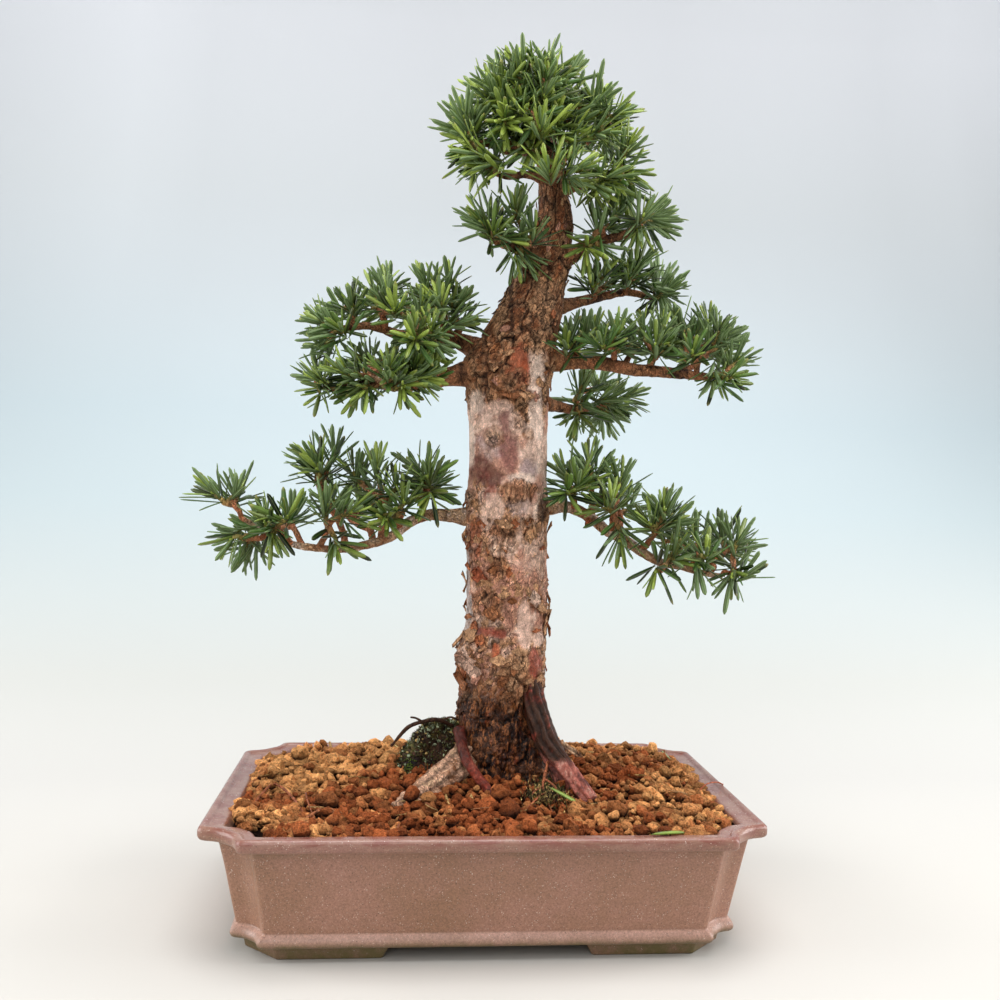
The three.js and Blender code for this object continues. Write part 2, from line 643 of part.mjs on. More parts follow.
function soilHeight(x, y) {
  const across = (x - HEAP_CENTRE[0]) / HEAP_SPREAD[0];
  const along = (y - HEAP_CENTRE[1]) / HEAP_SPREAD[1];
  const heap = Math.exp(-0.5 * (across ** 2 + along ** 2));
  const toEdge = Math.max(0, 1 - (x / HEAP_END_X) ** 6) * Math.max(0, 1 - (y / HEAP_END_Y) ** 6);
  return SOIL_EDGE_HEIGHT + SOIL_HEAP * heap * toEdge;
}

// Points of the heaped surface in rows, each one a grain's crown or the hollow between grains.
function soilGrid(columns, rows) {
  const grid = [];
  for (let row = 0; row <= rows; row++) {
    for (let column = 0; column <= columns; column++) {
      const seed = row * 97 + column * 13;
      const shiftX = (draw(seed) - 0.5) * GRAIN_PITCH * 0.5;
      const shiftY = (draw(seed + 0.37) - 0.5) * GRAIN_PITCH * 0.5;
      const x = (column - columns / 2) * GRAIN_PITCH + shiftX;
      const y = (row - rows / 2) * GRAIN_PITCH + shiftY;
      const grain = (row + column) % 2 === 0 ? 1 : GRAIN_HOLLOW;
      const lift = GRAIN_RELIEF * grain * (0.35 + 0.65 * draw(seed + 0.71));
      grid.push(new THREE.Vector3(x, y, soilHeight(x, y) + lift));
    }
  }
  return grid;
}

// The places in the grid along its four edges, anticlockwise from above.
function gridBorder(columns, rows) {
  const width = columns + 1;
  const front = Array.from({ length: columns }, (_, i) => i);
  const right = Array.from({ length: rows }, (_, i) => i * width + columns);
  const back = front.map((i) => rows * width + columns - i);
  const left = right.map((_, i) => (rows - i) * width);
  return [...front, ...right, ...back, ...left];
}

// A block whose top is the heaped surface with grains raised from it.
function soilBlock() {
  const columns = Math.ceil((RIM_WIDTH - 20) / GRAIN_PITCH);
  const rows = Math.ceil((RIM_DEPTH - 20) / GRAIN_PITCH);
  const grid = soilGrid(columns, rows);
  const border = gridBorder(columns, rows);
  const width = columns + 1;
  const count = grid.length;
  const index = [];
  for (let row = 0; row < rows; row++) {
    for (let column = 0; column < columns; column++) {
      const a = row * width + column;
      const b = a + 1;
      const c = b + width;
      const d = a + width;
      if ((row + column) % 2 === 0) index.push(a, b, c, a, c, d);
      else index.push(a, b, d, b, c, d);
    }
  }
  const lower = border.map((i) => new THREE.Vector3(grid[i].x, grid[i].y, 0));
  border.forEach((top, i) => {
    const next = (i + 1) % border.length;
    index.push(count + i, count + next, border[next], count + i, border[next], top);
  });
  const centre = count + border.length;
  border.forEach((_, i) => index.push(centre, count + ((i + 1) % border.length), count + i));
  const geometry = new THREE.BufferGeometry();
  const positions = [...grid, ...lower, new THREE.Vector3(0, 0, 0)].flatMap((p) => p.toArray());
  geometry.setAttribute("position", new THREE.Float32BufferAttribute(positions, 3));
  geometry.setIndex(index);
  return solidOf(geometry);
}

function buildSoil() {
  let soil = loft(SOIL_SECTION.map((row) => potOutline(row))).intersect(soilBlock());
  const [[lowest, ...base], ...upper] = TRUNK.slice(0, BURIED_ROWS);
  soil = soil.subtract(buildTrunk([[lowest - GAP, ...base], ...upper], GAP));
  ROOTS.forEach((path) => {
    const end = path[path.length - 1];
    const way = new THREE.Vector3().subVectors(point(end), point(path[path.length - 2])).normalize();
    const reach = point(end).addScaledVector(way, GAP);
    const channel = [...path.slice(0, -1), [...reach.toArray(), end[3]]];
    soil = soil.subtract(tube(channel, ROOT_SIDES, GAP));
  });
  const pocket = MESH_SIDE + 2 * GAP;
  const high = MESH_THICK + 2 * GAP;
  for (const x of [-DRAIN_HOLE_X, DRAIN_HOLE_X]) {
    soil = soil.subtract(box(pocket, pocket, high + 1, x, 0, FLOOR_TOP + (high - 1) / 2));
  }
  return mainBody(soil);
}

// Needle sprays

// The shortest distance between two straight stretches.
function stretchDistance(a, b, c, d) {
  const u = new THREE.Vector3().subVectors(b, a);
  const v = new THREE.Vector3().subVectors(d, c);
  const w = new THREE.Vector3().subVectors(a, c);
  const uu = u.dot(u);
  const uv = u.dot(v);
  const vv = v.dot(v);
  const uw = u.dot(w);
  const vw = v.dot(w);
  const bottom = uu * vv - uv * uv;
  let s = bottom > 1e-9 ? THREE.MathUtils.clamp((uv * vw - vv * uw) / bottom, 0, 1) : 0;
  const t = THREE.MathUtils.clamp((uv * s + vw) / vv, 0, 1);
  s = THREE.MathUtils.clamp((uv * t - uw) / uu, 0, 1);
  return w.addScaledVector(u, s).addScaledVector(v, -t).length();
}

// What a needle keeps clear of: stretches with two ends, a radius and the shoot they belong to,
// which is WOOD for the trunk and branches.
const WOOD = -1;
const stretches = [];

function addStretches(path, shoot) {
  for (let i = 0; i < path.length - 1; i++) {
    const radius = Math.max(path[i][3], path[i + 1][3]);
    stretches.push({ a: point(path[i]), b: point(path[i + 1]), radius, shoot, isNeedle: false });
  }
}

// Needles of one shoot part near their roots, so only their outer halves are compared.
function isClear(a, b, shoot) {
  return stretches.every((other) => {
    if (other.shoot !== shoot) {
      return stretchDistance(a, b, other.a, other.b) > other.radius + NEEDLE_SPACE / 2;
    }
    if (!other.isNeedle) return true;
    const outer = stretchDistance(a.clone().lerp(b, 0.4), b, other.a.clone().lerp(other.b, 0.4), other.b);
    return outer > NEEDLE_SPACE;
  });
}

function faceCentre(vertices, face) {
  const sum = face.reduce((total, i) => total.add(vertices[i]), new THREE.Vector3());
  return sum.divideScalar(face.length);
}

function facingOf(letters) {
  const way = new THREE.Vector3();
  for (const letter of letters) way.add(WAYS[letter]);
  return way.normalize();
}

// Grows a needle from one face of a shoot's core, whose corners run from below left to above, seen
// from outside. Two side points and the tip make the blade, with its upper side to the shoot's tip.
function growNeedle(vertices, index, [a, b, c], base, way, upper) {
  const across = new THREE.Vector3().crossVectors(upper, way).normalize();
  const normal = new THREE.Vector3().crossVectors(way, across);
  const middle = base.clone().addScaledVector(way, NEEDLE_LENGTH * NEEDLE_WIDEST);
  middle.addScaledVector(normal, -NEEDLE_THICK);
  const left = vertices.length;
  const right = left + 1;
  const tip = left + 2;
  vertices.push(middle.clone().addScaledVector(across, -NEEDLE_WIDTH / 2));
  vertices.push(middle.clone().addScaledVector(across, NEEDLE_WIDTH / 2));
  vertices.push(base.clone().addScaledVector(way, NEEDLE_LENGTH));
  index.push(a, b, right, a, right, left, left, right, tip, b, c, right, c, tip, right);
  index.push(c, a, left, c, left, tip);
}

// A way to grow that keeps clear of everything else, or null where there is none.
function freeWay(base, facing, outward, lean, shoot, seed) {
  for (let attempt = 0; attempt < NEEDLE_TRIES; attempt++) {
    const loose = 0.1 + (0.5 * attempt) / NEEDLE_TRIES;
    const tilt = lean + (draw(seed + attempt) - 0.5) * 2 * loose;
    const turn = (draw(seed + attempt + 0.5) - 0.5) * 2 * loose;
    const sideways = outward.clone().applyAxisAngle(facing, turn);
    const way = facing.clone().multiplyScalar(Math.cos(tilt)).addScaledVector(sideways, Math.sin(tilt));
    const start = base.clone().addScaledVector(way, NEEDLE_WIDTH / 4);
    const end = base.clone().addScaledVector(way, NEEDLE_LENGTH);
    if (isClear(start, end, shoot)) {
      stretches.push({ a: start, b: end, radius: NEEDLE_SPACE / 2, shoot, isNeedle: true });
      return way;
    }
  }
  return null;
}

// One shoot: a slim three-sided core through places of [centre, radius], and needles in place of
// faces near its tip. Each of the last two rings is turned by half a side against the one before.
function buildShoot(path, tip, facing, shoot) {
  const foot = tip.clone().addScaledVector(facing, -2 * NEEDLE_BAND);
  const middle = foot.clone().lerp(tip, 0.5);
  const places = [...path, [foot, SHOOT_RADIUS], [middle, SHOOT_RADIUS], [tip, SHOOT_TIP_RADIUS]];
  const last = places.length - 1;
  const side = UP.clone().addScaledVector(RIGHT, 0.3).addScaledVector(BACK, 0.1 * (shoot % 7));
  const vertices = [];
  const index = [0, 2, 1];
  places.forEach(([centre, radius], i) => {
    const into = new THREE.Vector3().subVectors(centre, places[Math.max(i - 1, 0)][0]).normalize();
    const out = new THREE.Vector3().subVectors(places[Math.min(i + 1, last)][0], centre).normalize();
    const way = into.add(out).normalize();
    side.addScaledVector(way, -side.dot(way)).normalize();
    const other = new THREE.Vector3().crossVectors(way, side);
    for (let k = 0; k < SHOOT_SIDES; k++) {
      const angle = ((2 * k + Math.max(0, i - last + 2)) / SHOOT_SIDES) * Math.PI;
      const corner = centre.clone().addScaledVector(side, radius * Math.cos(angle));
      vertices.push(corner.addScaledVector(other, radius * Math.sin(angle)));
    }
  });
  for (let row = 0; row < last; row++) {
    for (let k = 0; k < SHOOT_SIDES; k++) {
      const a = row * SHOOT_SIDES + k;
      const b = row * SHOOT_SIDES + ((k + 1) % SHOOT_SIDES);
      const isLow = row === last - 2;
      const isBare = row < last - 2 || (isLow && k < BARE_FACES);
      const face = [a, b, a + SHOOT_SIDES];
      const base = faceCentre(vertices, face);
      const outward = base.clone().sub(tip).projectOnPlane(facing).normalize();
      const lean = isLow ? LOW_LEAN : HIGH_LEAN;
      const way = isBare ? null : freeWay(base, facing, outward, lean, shoot, shoot * 9 + a);
      if (way) growNeedle(vertices, index, face, base, way, facing);
      else index.push(...face);
      index.push(b, b + SHOOT_SIDES, a + SHOOT_SIDES);
    }
  }
  const cap = [last * SHOOT_SIDES, last * SHOOT_SIDES + 1, last * SHOOT_SIDES + 2];
  const edge = new THREE.Vector3().subVectors(vertices[cap[1]], vertices[cap[0]]).normalize();
  const way = freeWay(tip, facing, edge, 0.1, shoot, shoot * 9);
  if (way) growNeedle(vertices, index, cap, tip, way, new THREE.Vector3().crossVectors(way, edge));
  else index.push(...cap);
  const geometry = new THREE.BufferGeometry();
  const positions = vertices.flatMap((p) => p.toArray());
  geometry.setAttribute("position", new THREE.Float32BufferAttribute(positions, 3));
  geometry.setIndex(index);
  return solidOf(geometry);
}

// A spray: its stem runs on into the first shoot, and the others leave the stem at the fork.
function buildSpray(joint, fork, shoots, firstShoot) {
  const back = new THREE.Vector3().subVectors(joint.start, fork).normalize();
  const inside = fork.clone().addScaledVector(back, Math.min(0.6, fork.distanceTo(joint.start) / 2));
  const solids = shoots.map((shoot, i) => {
    const path = i === 0 ? [[joint.start, STEM_RADIUS], [fork, STEM_RADIUS]] : [[inside, STEM_RADIUS / 2]];
    return buildShoot(path, point(shoot), facingOf(shoot[3]), firstShoot + i);
  });
  return mainBody(joined(solids));
}

// The whole object

function material(color, roughness) {
  return new THREE.MeshStandardMaterial({ color, roughness, metalness: 0 });
}

function part(name, solid, surface) {
  const mesh = new THREE.Mesh(geometryOf(solid), surface);
  mesh.name = name;
  return mesh;
}

const group = new THREE.Group();
group.add(part("pot", buildPot(), material(0x96705f, 0.5)));
group.add(part("drain_mesh_left", buildDrainMesh(-DRAIN_HOLE_X), material(0x1c1c1c, 0.6)));
group.add(part("drain_mesh_right", buildDrainMesh(DRAIN_HOLE_X), material(0x1c1c1c, 0.6)));
group.add(part("soil", buildSoil(), material(0xa8713c, 0.95)));

const joints = SPRAYS.map(([, branch, place, fork]) => sprayJoint(branch, place, point(fork)));
group.add(part("trunk_and_branches", buildWood(joints), material(0x6f5647, 0.85)));

addStretches(TRUNK.map(([z, x, y, radius]) => [x, y, z, radius]), WOOD);
Object.values(BRANCHES).forEach((path) => addStretches(path, WOOD));
STUBS.forEach((path) => addStretches(path, WOOD));
joints.filter((joint) => joint.woodEnd).forEach((joint) => addStretches(twigPath(joint), WOOD));
const firstShoots = SPRAYS.map((_, i) => 10 * i);
SPRAYS.forEach(([, , , fork, shoots], i) => {
  addStretches([[...joints[i].start.toArray(), STEM_RADIUS], [...fork, STEM_RADIUS]], firstShoots[i]);
  shoots.forEach((shoot, k) => {
    addStretches([[...fork, STEM_RADIUS], [...shoot.slice(0, 3), SHOOT_RADIUS]], firstShoots[i] + k);
  });
});
SPRAYS.forEach(([name, , , fork, shoots], i) => {
  const solid = buildSpray(joints[i], point(fork), shoots, firstShoots[i]);
  group.add(part("spray_" + name, solid, material(0x3f6b3a, 0.55)));
});

export default group;
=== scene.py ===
"""An old Japanese yew trained as an upright bonsai, in a rectangular stoneware pot with notched corners.

The tables are in millimetres: +Z up, +X along the pot's long side, +Y to the back, and the origin in the
middle of the pot's footprint, on the plane that its feet stand on.
"""

import bpy
import numpy as np
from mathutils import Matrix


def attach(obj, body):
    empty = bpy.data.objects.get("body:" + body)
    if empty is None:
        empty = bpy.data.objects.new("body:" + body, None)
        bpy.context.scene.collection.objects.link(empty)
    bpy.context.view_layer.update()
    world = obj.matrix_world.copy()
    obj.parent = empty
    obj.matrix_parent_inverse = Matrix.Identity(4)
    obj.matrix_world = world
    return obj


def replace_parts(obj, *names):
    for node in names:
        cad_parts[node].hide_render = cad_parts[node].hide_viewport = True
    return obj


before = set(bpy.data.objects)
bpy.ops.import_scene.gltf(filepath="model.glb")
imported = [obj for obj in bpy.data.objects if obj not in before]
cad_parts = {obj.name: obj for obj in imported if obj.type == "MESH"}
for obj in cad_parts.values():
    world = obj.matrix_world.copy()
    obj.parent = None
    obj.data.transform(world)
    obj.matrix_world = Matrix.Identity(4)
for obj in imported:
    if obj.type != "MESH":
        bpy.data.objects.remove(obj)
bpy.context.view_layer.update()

bl_info = {
    "name": "Yew Bonsai",
    "version": (1, 0, 0),
    "blender": (4, 5, 0),
    "location": "View3D > Sidebar > Bonsai",
    "description": "Builds an old yew with needle pads, a clay soil and a notched stoneware pot",
    "category": "Add Mesh",
}

MM = 0.001
TURN = 2 * np.pi
GOLDEN_ANGLE = 2.399963
UP = np.array([0, 0, 1.0])

# Trunk and leader from the buried stump upwards, as [x, y, z, radius]
TRUNK = [
    [12, 15, 40, 17], [12, 15, 50, 26], [12, 15, 63, 28.5], [12, 15, 72, 26.5], [13, 15, 82, 25.5],
    [13, 15, 93, 24.3], [11.6, 15, 105, 23.2], [12.3, 15, 118, 23.8], [11.7, 15, 132, 24.3],
    [13.6, 15, 149, 22.4], [13.4, 15, 171, 22.4], [12.6, 15, 193, 22.1], [12.6, 15, 215, 22],
    [12.3, 15, 237, 21.7], [12, 15, 259, 22], [11.7, 15, 276, 22.6], [12.6, 15, 289, 23.2],
    [15.8, 15, 298, 21.4], [19, 15, 309, 19.6], [24.1, 15, 325, 16.6], [27.4, 15, 337, 14.7],
    [30.6, 15, 347, 13.2], [33.3, 15, 359, 11.4], [34.8, 15, 370, 9.8], [34.2, 15, 381, 8.4],
    [32.8, 15, 391, 7.4], [31, 14.6, 398, 6.4], [24, 13, 413, 5.4], [18.5, 13, 424, 4.6], [17, 13, 433, 3.9],
    [19, 14, 443, 2.9], [23, 15, 450, 1.9],
]

# Surface roots, as points of [x, y, z, radius] from the trunk outwards, with the bark's colour
ROOTS = [
    ("root", [[-3, 5, 78, 8.8], [-13, -7, 72, 8.4], [-24, -19, 67, 7.6], [-34, -29, 63, 6.2],
        [-44, -38, 58.5, 4.4]]),
    ("red", [[-12, -2, 92, 3], [-9, -15, 80, 2.8], [-2.5, -22.5, 71.5, 2.6], [5.5, -29, 62, 2.2]]),
    ("ridged", [[25, 3, 120, 4.8], [30.5, -8, 98, 5.8], [37, -16, 83, 5.6], [45, -25, 73, 5],
        [54.5, -35, 62, 4]]),
    ("flesh", [[33, -6, 84, 3.2], [37, -17, 76, 2.9], [41, -27, 66, 2.5], [43, -33, 60, 2]]),
    ("brown", [[30, 18, 84, 6.2], [42, 20, 77, 5.6], [54, 24, 71, 4.4], [66, 27, 63, 3]]),
    ("brown", [[24, 32, 84, 6.6], [34, 46, 76, 5.6], [44, 58, 68, 4.2], [50, 66, 61, 3]]),
    ("brown", [[2, 32, 84, 6.6], [-10, 46, 76, 5.6], [-22, 58, 68, 4.2], [-30, 66, 61, 3]]),
    ("brown", [[-6, 16, 84, 6.4], [-22, 20, 77, 5.6], [-36, 22, 71, 4.6], [-50, 24, 62, 3.2]]),
]

# Branches, as points of [x, y, z, radius] from the trunk outwards
BRANCHES = {
    "lower_left": [[-4, 15, 205, 4.4], [-21, 12, 206, 3.4], [-31, 8, 206, 3], [-41, 3, 202, 2.8],
        [-50, -2, 195, 2.6], [-60, -5, 191, 2.4], [-74, -8, 188, 2.1], [-88, -9, 188, 1.9],
        [-102, -9, 190, 1.7], [-114, -8, 194, 1.5], [-126, -8, 202, 1.3]],
    "lower_right": [[28, 15, 212, 4.4], [46, 10, 212, 3.3], [57, 5, 207, 3], [66, 1, 200, 2.9],
        [76, -3, 195, 2.8], [86, -6, 188, 2.5], [94, -8, 184, 2.3], [105, -9, 182, 2], [116, -9, 179, 1.7],
        [128, -9, 177, 1.3]],
    "left_low": [[0, 13, 286, 6.5], [-21, 6, 281, 5], [-33, 0, 278, 4.2], [-45, -4, 275, 3.6],
        [-58, -8, 275, 3.2], [-71, -10, 273, 2.7], [-81, -11, 272, 2.2], [-88, -11, 273, 1.7]],
    "left_high": [[4, 22, 294, 6], [-15, 22, 302, 4.5], [-24, 20, 304, 3.8], [-33, 16, 304, 3.2],
        [-48, 10, 303, 2.8], [-57, 6, 305, 2.4], [-65, 1, 306, 2.1], [-75, -4, 304, 1.8],
        [-79, -7, 303, 1.5]],
    "middle_right": [[24, 15, 293, 5.6], [50, 10, 292, 4.2], [62, 6, 291, 3.8], [77, 2, 288, 3.5],
        [90, -1, 287, 3.2], [103, -3, 286, 2.9], [112, -5, 285, 2.4], [121, -9, 284, 1.8]],
    "behind_trunk": [[28, 20, 270, 4], [45, 34, 268, 3], [57, 45, 268, 2.5], [69, 54, 272, 1.9]],
    "upper_right": [[30, 18, 320, 4], [55, 25, 328, 3], [68, 30, 332, 2.5], [81, 34, 335, 2.1],
        [94, 36, 333, 1.6]],
    "high_right": [[36, 14, 344, 4.2], [47, 8, 352, 3.4], [54, 5, 356, 2.9], [64, 2, 358, 2.5],
        [73, -1, 361, 2.1], [78, -3, 365, 1.7]],
    "high_left": [[27, 10, 344, 4.4], [17, 1, 349, 3.4], [10, -4, 350, 2.8], [2, -7, 352, 2.3],
        [-5, -9, 355, 1.7]],
    "crown_low_left": [[30, 13, 391, 2.6], [17, 5, 391, 2], [7, -1, 388, 1.7], [0, -5, 388, 1.3]],
    "crown_left": [[26, 14, 411, 5], [14, 9, 407, 4.4], [5, 4, 405, 3.6], [-4, -2, 405, 2.5],
        [-11, -6, 402, 1.6]],
    "crown_right": [[32, 15, 400, 4], [44, 20, 410, 3.2], [54, 20, 417, 2.5], [61, 18, 426, 1.7]],
    "crown_low_right": [[33, 15, 385, 4], [46, 14, 389, 3], [56, 10, 390, 2.4], [65, 5, 393, 1.6]],
    "crown_back": [[31, 18, 400, 3.6], [35, 36, 417, 2.8], [37, 48, 432, 1.7]],
    "crown_front": [[32, 14, 391, 3.2], [33, -2, 389, 2.4], [35, -14, 388, 1.6]],
    "leader": TRUNK[-6:],
}

# Cut stubs of pruned twigs
STUBS = [
    [[57, 5, 207, 1.6], [56, 2, 205, 1.6], [55, -1, 203, 1.5]],
    [[76, -3, 195, 1.6], [74.5, -6, 194, 1.6], [73, -9, 193, 1.5]],
    [[-20, 20, 303, 2.4], [-22.5, 17.5, 309, 2.1], [-25, 15, 316, 1.8]],
]

# Needle sprays by pad: the spray's name in its pad, its branch, unless that has the pad's name, its place
# along the branch's points, the fork of its twig, and its shoots as [x, y, z, the ways it faces: up, down,
# left, right, front, back]
PADS = {
    "lower_left": [
        ("tip", 10, [-133, -7, 210], [[-146, -10, 219, "ul"], [-132, 6, 220, "u"]]),
        ("tip_low", 9, [-125, -10, 193], [[-135, -16, 189, "ld"], [-131, -2, 196, "lb"],
            [-126, 0, 183, "d"]]),
        ("outer", 8, [-110, -14, 199], [[-103, -26, 207, "uf"], [-116, -16, 204, "uf"],
            [-111, -24, 192, "df"]]),
        ("middle", 7, [-83, -14, 200], [[-83, -20, 215, "u"], [-68, -28, 210, "rf"],
            [-77, -24, 187, "df"]]),
        ("high", 6, [-88, 6, 217], [[-97, 10, 238, "ul"], [-82, 18, 244, "u"], [-92, -6, 231, "lf"]]),
        ("inner", 4.6, [-55, 2, 212], [[-70, 14, 231, "u"], [-59, -6, 235, "u"], [-49, -14, 225, "uf"]]),
        ("shade", 3.4, [-46, -10, 208], [[-44, -22, 217, "uf"], [-54, -20, 204, "df"]]),
        ("near", 2.2, [-35, 6, 217], [[-33, -16, 231, "uf"], [-40, 14, 235, "ul"], [-24, 22, 226, "ur"],
            [-31, -14, 216, "df"]]),
        ("back_outer", 7.4, [-104, 16, 198], [[-106, 36, 207, "ub"], [-121, 26, 205, "ul"],
            [-127, 20, 194, "lb"]]),
        ("back_inner", 5, [-72, 16, 202], [[-83, 40, 216, "ub"], [-67, 32, 214, "u"],
            [-55, 44, 213, "rb"]]),
    ],
    "lower_right": [
        ("near", 1.2, [47, 4, 220], [[47, -12, 229, "uf"], [41, 8, 234, "ul"], [42, -18, 221, "f"]]),
        ("high", 2.3, [58, 6, 223], [[55, 6, 242, "u"], [66, 16, 236, "ur"]]),
        ("inner", 3.2, [69, -4, 211], [[66, -16, 220, "uf"], [74, 4, 232, "u"], [70, -14, 191, "d"]]),
        ("middle", 4.6, [90, -12, 200], [[93, -18, 217, "u"], [83, -24, 208, "lf"],
            [104, -6, 210, "ur"]]),
        ("low", 6, [93, -12, 180], [[89, -18, 177, "df"], [103, -14, 196, "ur"]]),
        ("outer", 7.4, [114, -14, 187], [[114, -28, 193, "uf"], [117, 4, 200, "u"],
            [115, -18, 177, "dr"]]),
        ("tip", 9, [134, -10, 180], [[141, -18, 182, "rf"], [138, -10, 202, "ur"], [132, -8, 171, "d"]]),
        ("tip_high", 8.3, [129, -4, 188], [[130, 4, 205, "u"], [142, 6, 191, "r"]]),
        ("back_inner", 3.6, [76, 18, 209], [[85, 32, 215, "ub"], [70, 36, 218, "lb"]]),
        ("back_outer", 6.4, [110, 14, 191], [[115, 28, 203, "ub"], [132, 26, 195, "rb"],
            [103, 34, 197, "b"]]),
    ],
    "middle_left": [
        ("low_tip", "left_low", 7, [-90, -12, 274], [[-91, -16, 276, "l"], [-94, 4, 284, "ul"]]),
        ("low_inner", "left_low", 3.6, [-52, -13, 273], [[-44, -22, 272, "df"], [-55, -26, 284, "uf"],
            [-31, -12, 278, "rd"], [-71, -16, 266, "d"], [-81, -24, 281, "lf"]]),
        ("tip", "left_high", 8, [-81, -10, 302], [[-80, -22, 303, "lf"], [-93, -4, 296, "l"],
            [-90, 4, 311, "ul"]]),
        ("high_outer", "left_high", 7, [-72, 0, 312], [[-75, -8, 319, "u"], [-86, 18, 320, "ul"]]),
        ("crest", "left_high", 5, [-58, 2, 314], [[-52, -20, 315, "uf"], [-66, 10, 329, "ul"],
            [-55, 16, 337, "u"]]),
        ("front", "left_high", 3.4, [-39, -6, 304], [[-43, -28, 298, "f"], [-32, -18, 307, "uf"],
            [-36, -6, 319, "u"]]),
        ("peak", "left_high", 2, [-29, 14, 319], [[-36, 10, 336, "ul"], [-22, 22, 341, "u"],
            [-29, -6, 324, "uf"]]),
        ("inner", "left_high", 1.4, [-18, 18, 312], [[-14, 12, 326, "ur"], [-14, 0, 310, "r"]]),
        ("back_high", "left_high", 3, [-41, 32, 315], [[-46, 48, 328, "ub"], [-26, 50, 329, "ub"],
            [-62, 38, 324, "lb"]]),
        ("back_low", "left_low", 4.4, [-63, 10, 285], [[-70, 28, 296, "ul"], [-53, 36, 294, "b"],
            [-78, 30, 287, "l"]]),
    ],
    "middle_right": [
        ("tip", 7, [126, -13, 286], [[127, -22, 283, "rf"], [136, -8, 298, "ur"], [119, -14, 280, "d"]]),
        ("outer", 6, [115, -8, 295], [[104, -24, 299, "uf"], [125, -4, 310, "ur"]]),
        ("top", 5.2, [109, 6, 300], [[121, 8, 320, "u"], [106, 14, 319, "u"], [136, 16, 312, "ur"]]),
        ("middle", 3.8, [89, -4, 294], [[86, -16, 303, "uf"], [83, 8, 315, "u"], [95, -2, 315, "u"]]),
        ("inner", 2.4, [67, 2, 299], [[69, -6, 311, "u"], [56, -20, 301, "uf"]]),
        ("near", 1, [48, 8, 299], [[41, -8, 301, "uf"], [58, 12, 314, "u"], [45, 14, 310, "u"]]),
        ("back_inner", 2.8, [82, 22, 299], [[90, 38, 309, "ub"], [73, 40, 311, "ub"]]),
        ("back_outer", 5.6, [116, 16, 297], [[127, 34, 308, "ub"], [110, 38, 306, "b"],
            [138, 22, 302, "rb"]]),
    ],
    "behind_trunk": [
        ("outer", 3, [74, 56, 274], [[75, 42, 276, "r"], [92, 60, 279, "r"], [81, 70, 269, "rb"],
            [70, 65, 263, "db"]]),
        ("inner", 1.8, [53, 37, 273], [[56, 31, 281, "uf"], [54, 34, 262, "df"], [71, 72, 287, "ub"]]),
    ],
    "upper_right": [
        ("inner", 1.2, [61, 22, 333], [[56, 8, 337, "uf"], [72, 32, 346, "u"]]),
        ("middle", 2.6, [82, 28, 340], [[88, 22, 353, "ur"], [77, 10, 343, "uf"]]),
        ("tip", 4, [98, 36, 334], [[106, 26, 338, "r"], [102, 38, 330, "d"], [100, 46, 347, "ub"]]),
    ],
    "high_right": [
        ("tip", 5, [80, -4, 367], [[81, -12, 372, "ur"], [92, 4, 369, "r"], [77, -6, 358, "d"]]),
        ("inner", 2.4, [58, -3, 361], [[68, 10, 373, "u"], [49, -8, 348, "df"], [56, 2, 368, "u"]]),
    ],
    "high_left": [
        ("tip", 4, [-6, -10, 357], [[-11, -14, 363, "ul"], [0, 2, 370, "u"], [0, -20, 356, "f"]]),
        ("near", 1, [16, -6, 350], [[21, -16, 360, "uf"], [10, -6, 373, "u"], [12, -10, 340, "d"]]),
    ],
    "crown": [
        ("low_left", "crown_low_left", 3, [-3, -7, 388], [[-7, -16, 389, "ld"], [-9, 4, 398, "l"]]),
        ("left", "crown_left", 4, [-13, -6, 403], [[-17, -16, 396, "l"], [-19, -4, 412, "ul"],
            [-19, -8, 420, "ul"], [-7, 10, 423, "u"]]),
        ("front", "crown_front", 2, [35, -16, 388], [[24, -30, 388, "uf"], [42, -26, 389, "urf"]]),
        ("low_right", "crown_low_right", 3, [68, 4, 396], [[72, -2, 406, "ur"], [65, -12, 390, "r"],
            [57, -8, 381, "rd"], [72, 6, 379, "d"]]),
        ("right", "crown_right", 3, [63, 17, 430], [[60, 6, 431, "ur"], [62, -6, 413, "r"],
            [61, 34, 443, "u"], [68, 34, 420, "rb"]]),
        ("top", "leader", 5, [25, 14, 454], [[28, 6, 450, "u"], [13, 4, 452, "u"], [42, 10, 449, "ur"],
            [26, -14, 431, "uf"]]),
        ("top_left", "leader", 4.5, [10, 4, 432], [[-5, -4, 437, "ul"], [5, 14, 450, "u"], [3, -20, 413, "f"],
            [21, -24, 412, "uf"]]),
        ("back", "crown_back", 2, [35, 50, 438], [[31, 42, 450, "u"], [47, 64, 441, "rb"],
            [15, 48, 443, "ul"], [22, 58, 424, "b"]]),
    ],
}

WAYS = {
    "u": (0, 0, 1), "d": (0, 0, -1), "l": (-1, 0, 0), "r": (1, 0, 0), "f": (0, -1, 0), "b": (0, 1, 0),
}

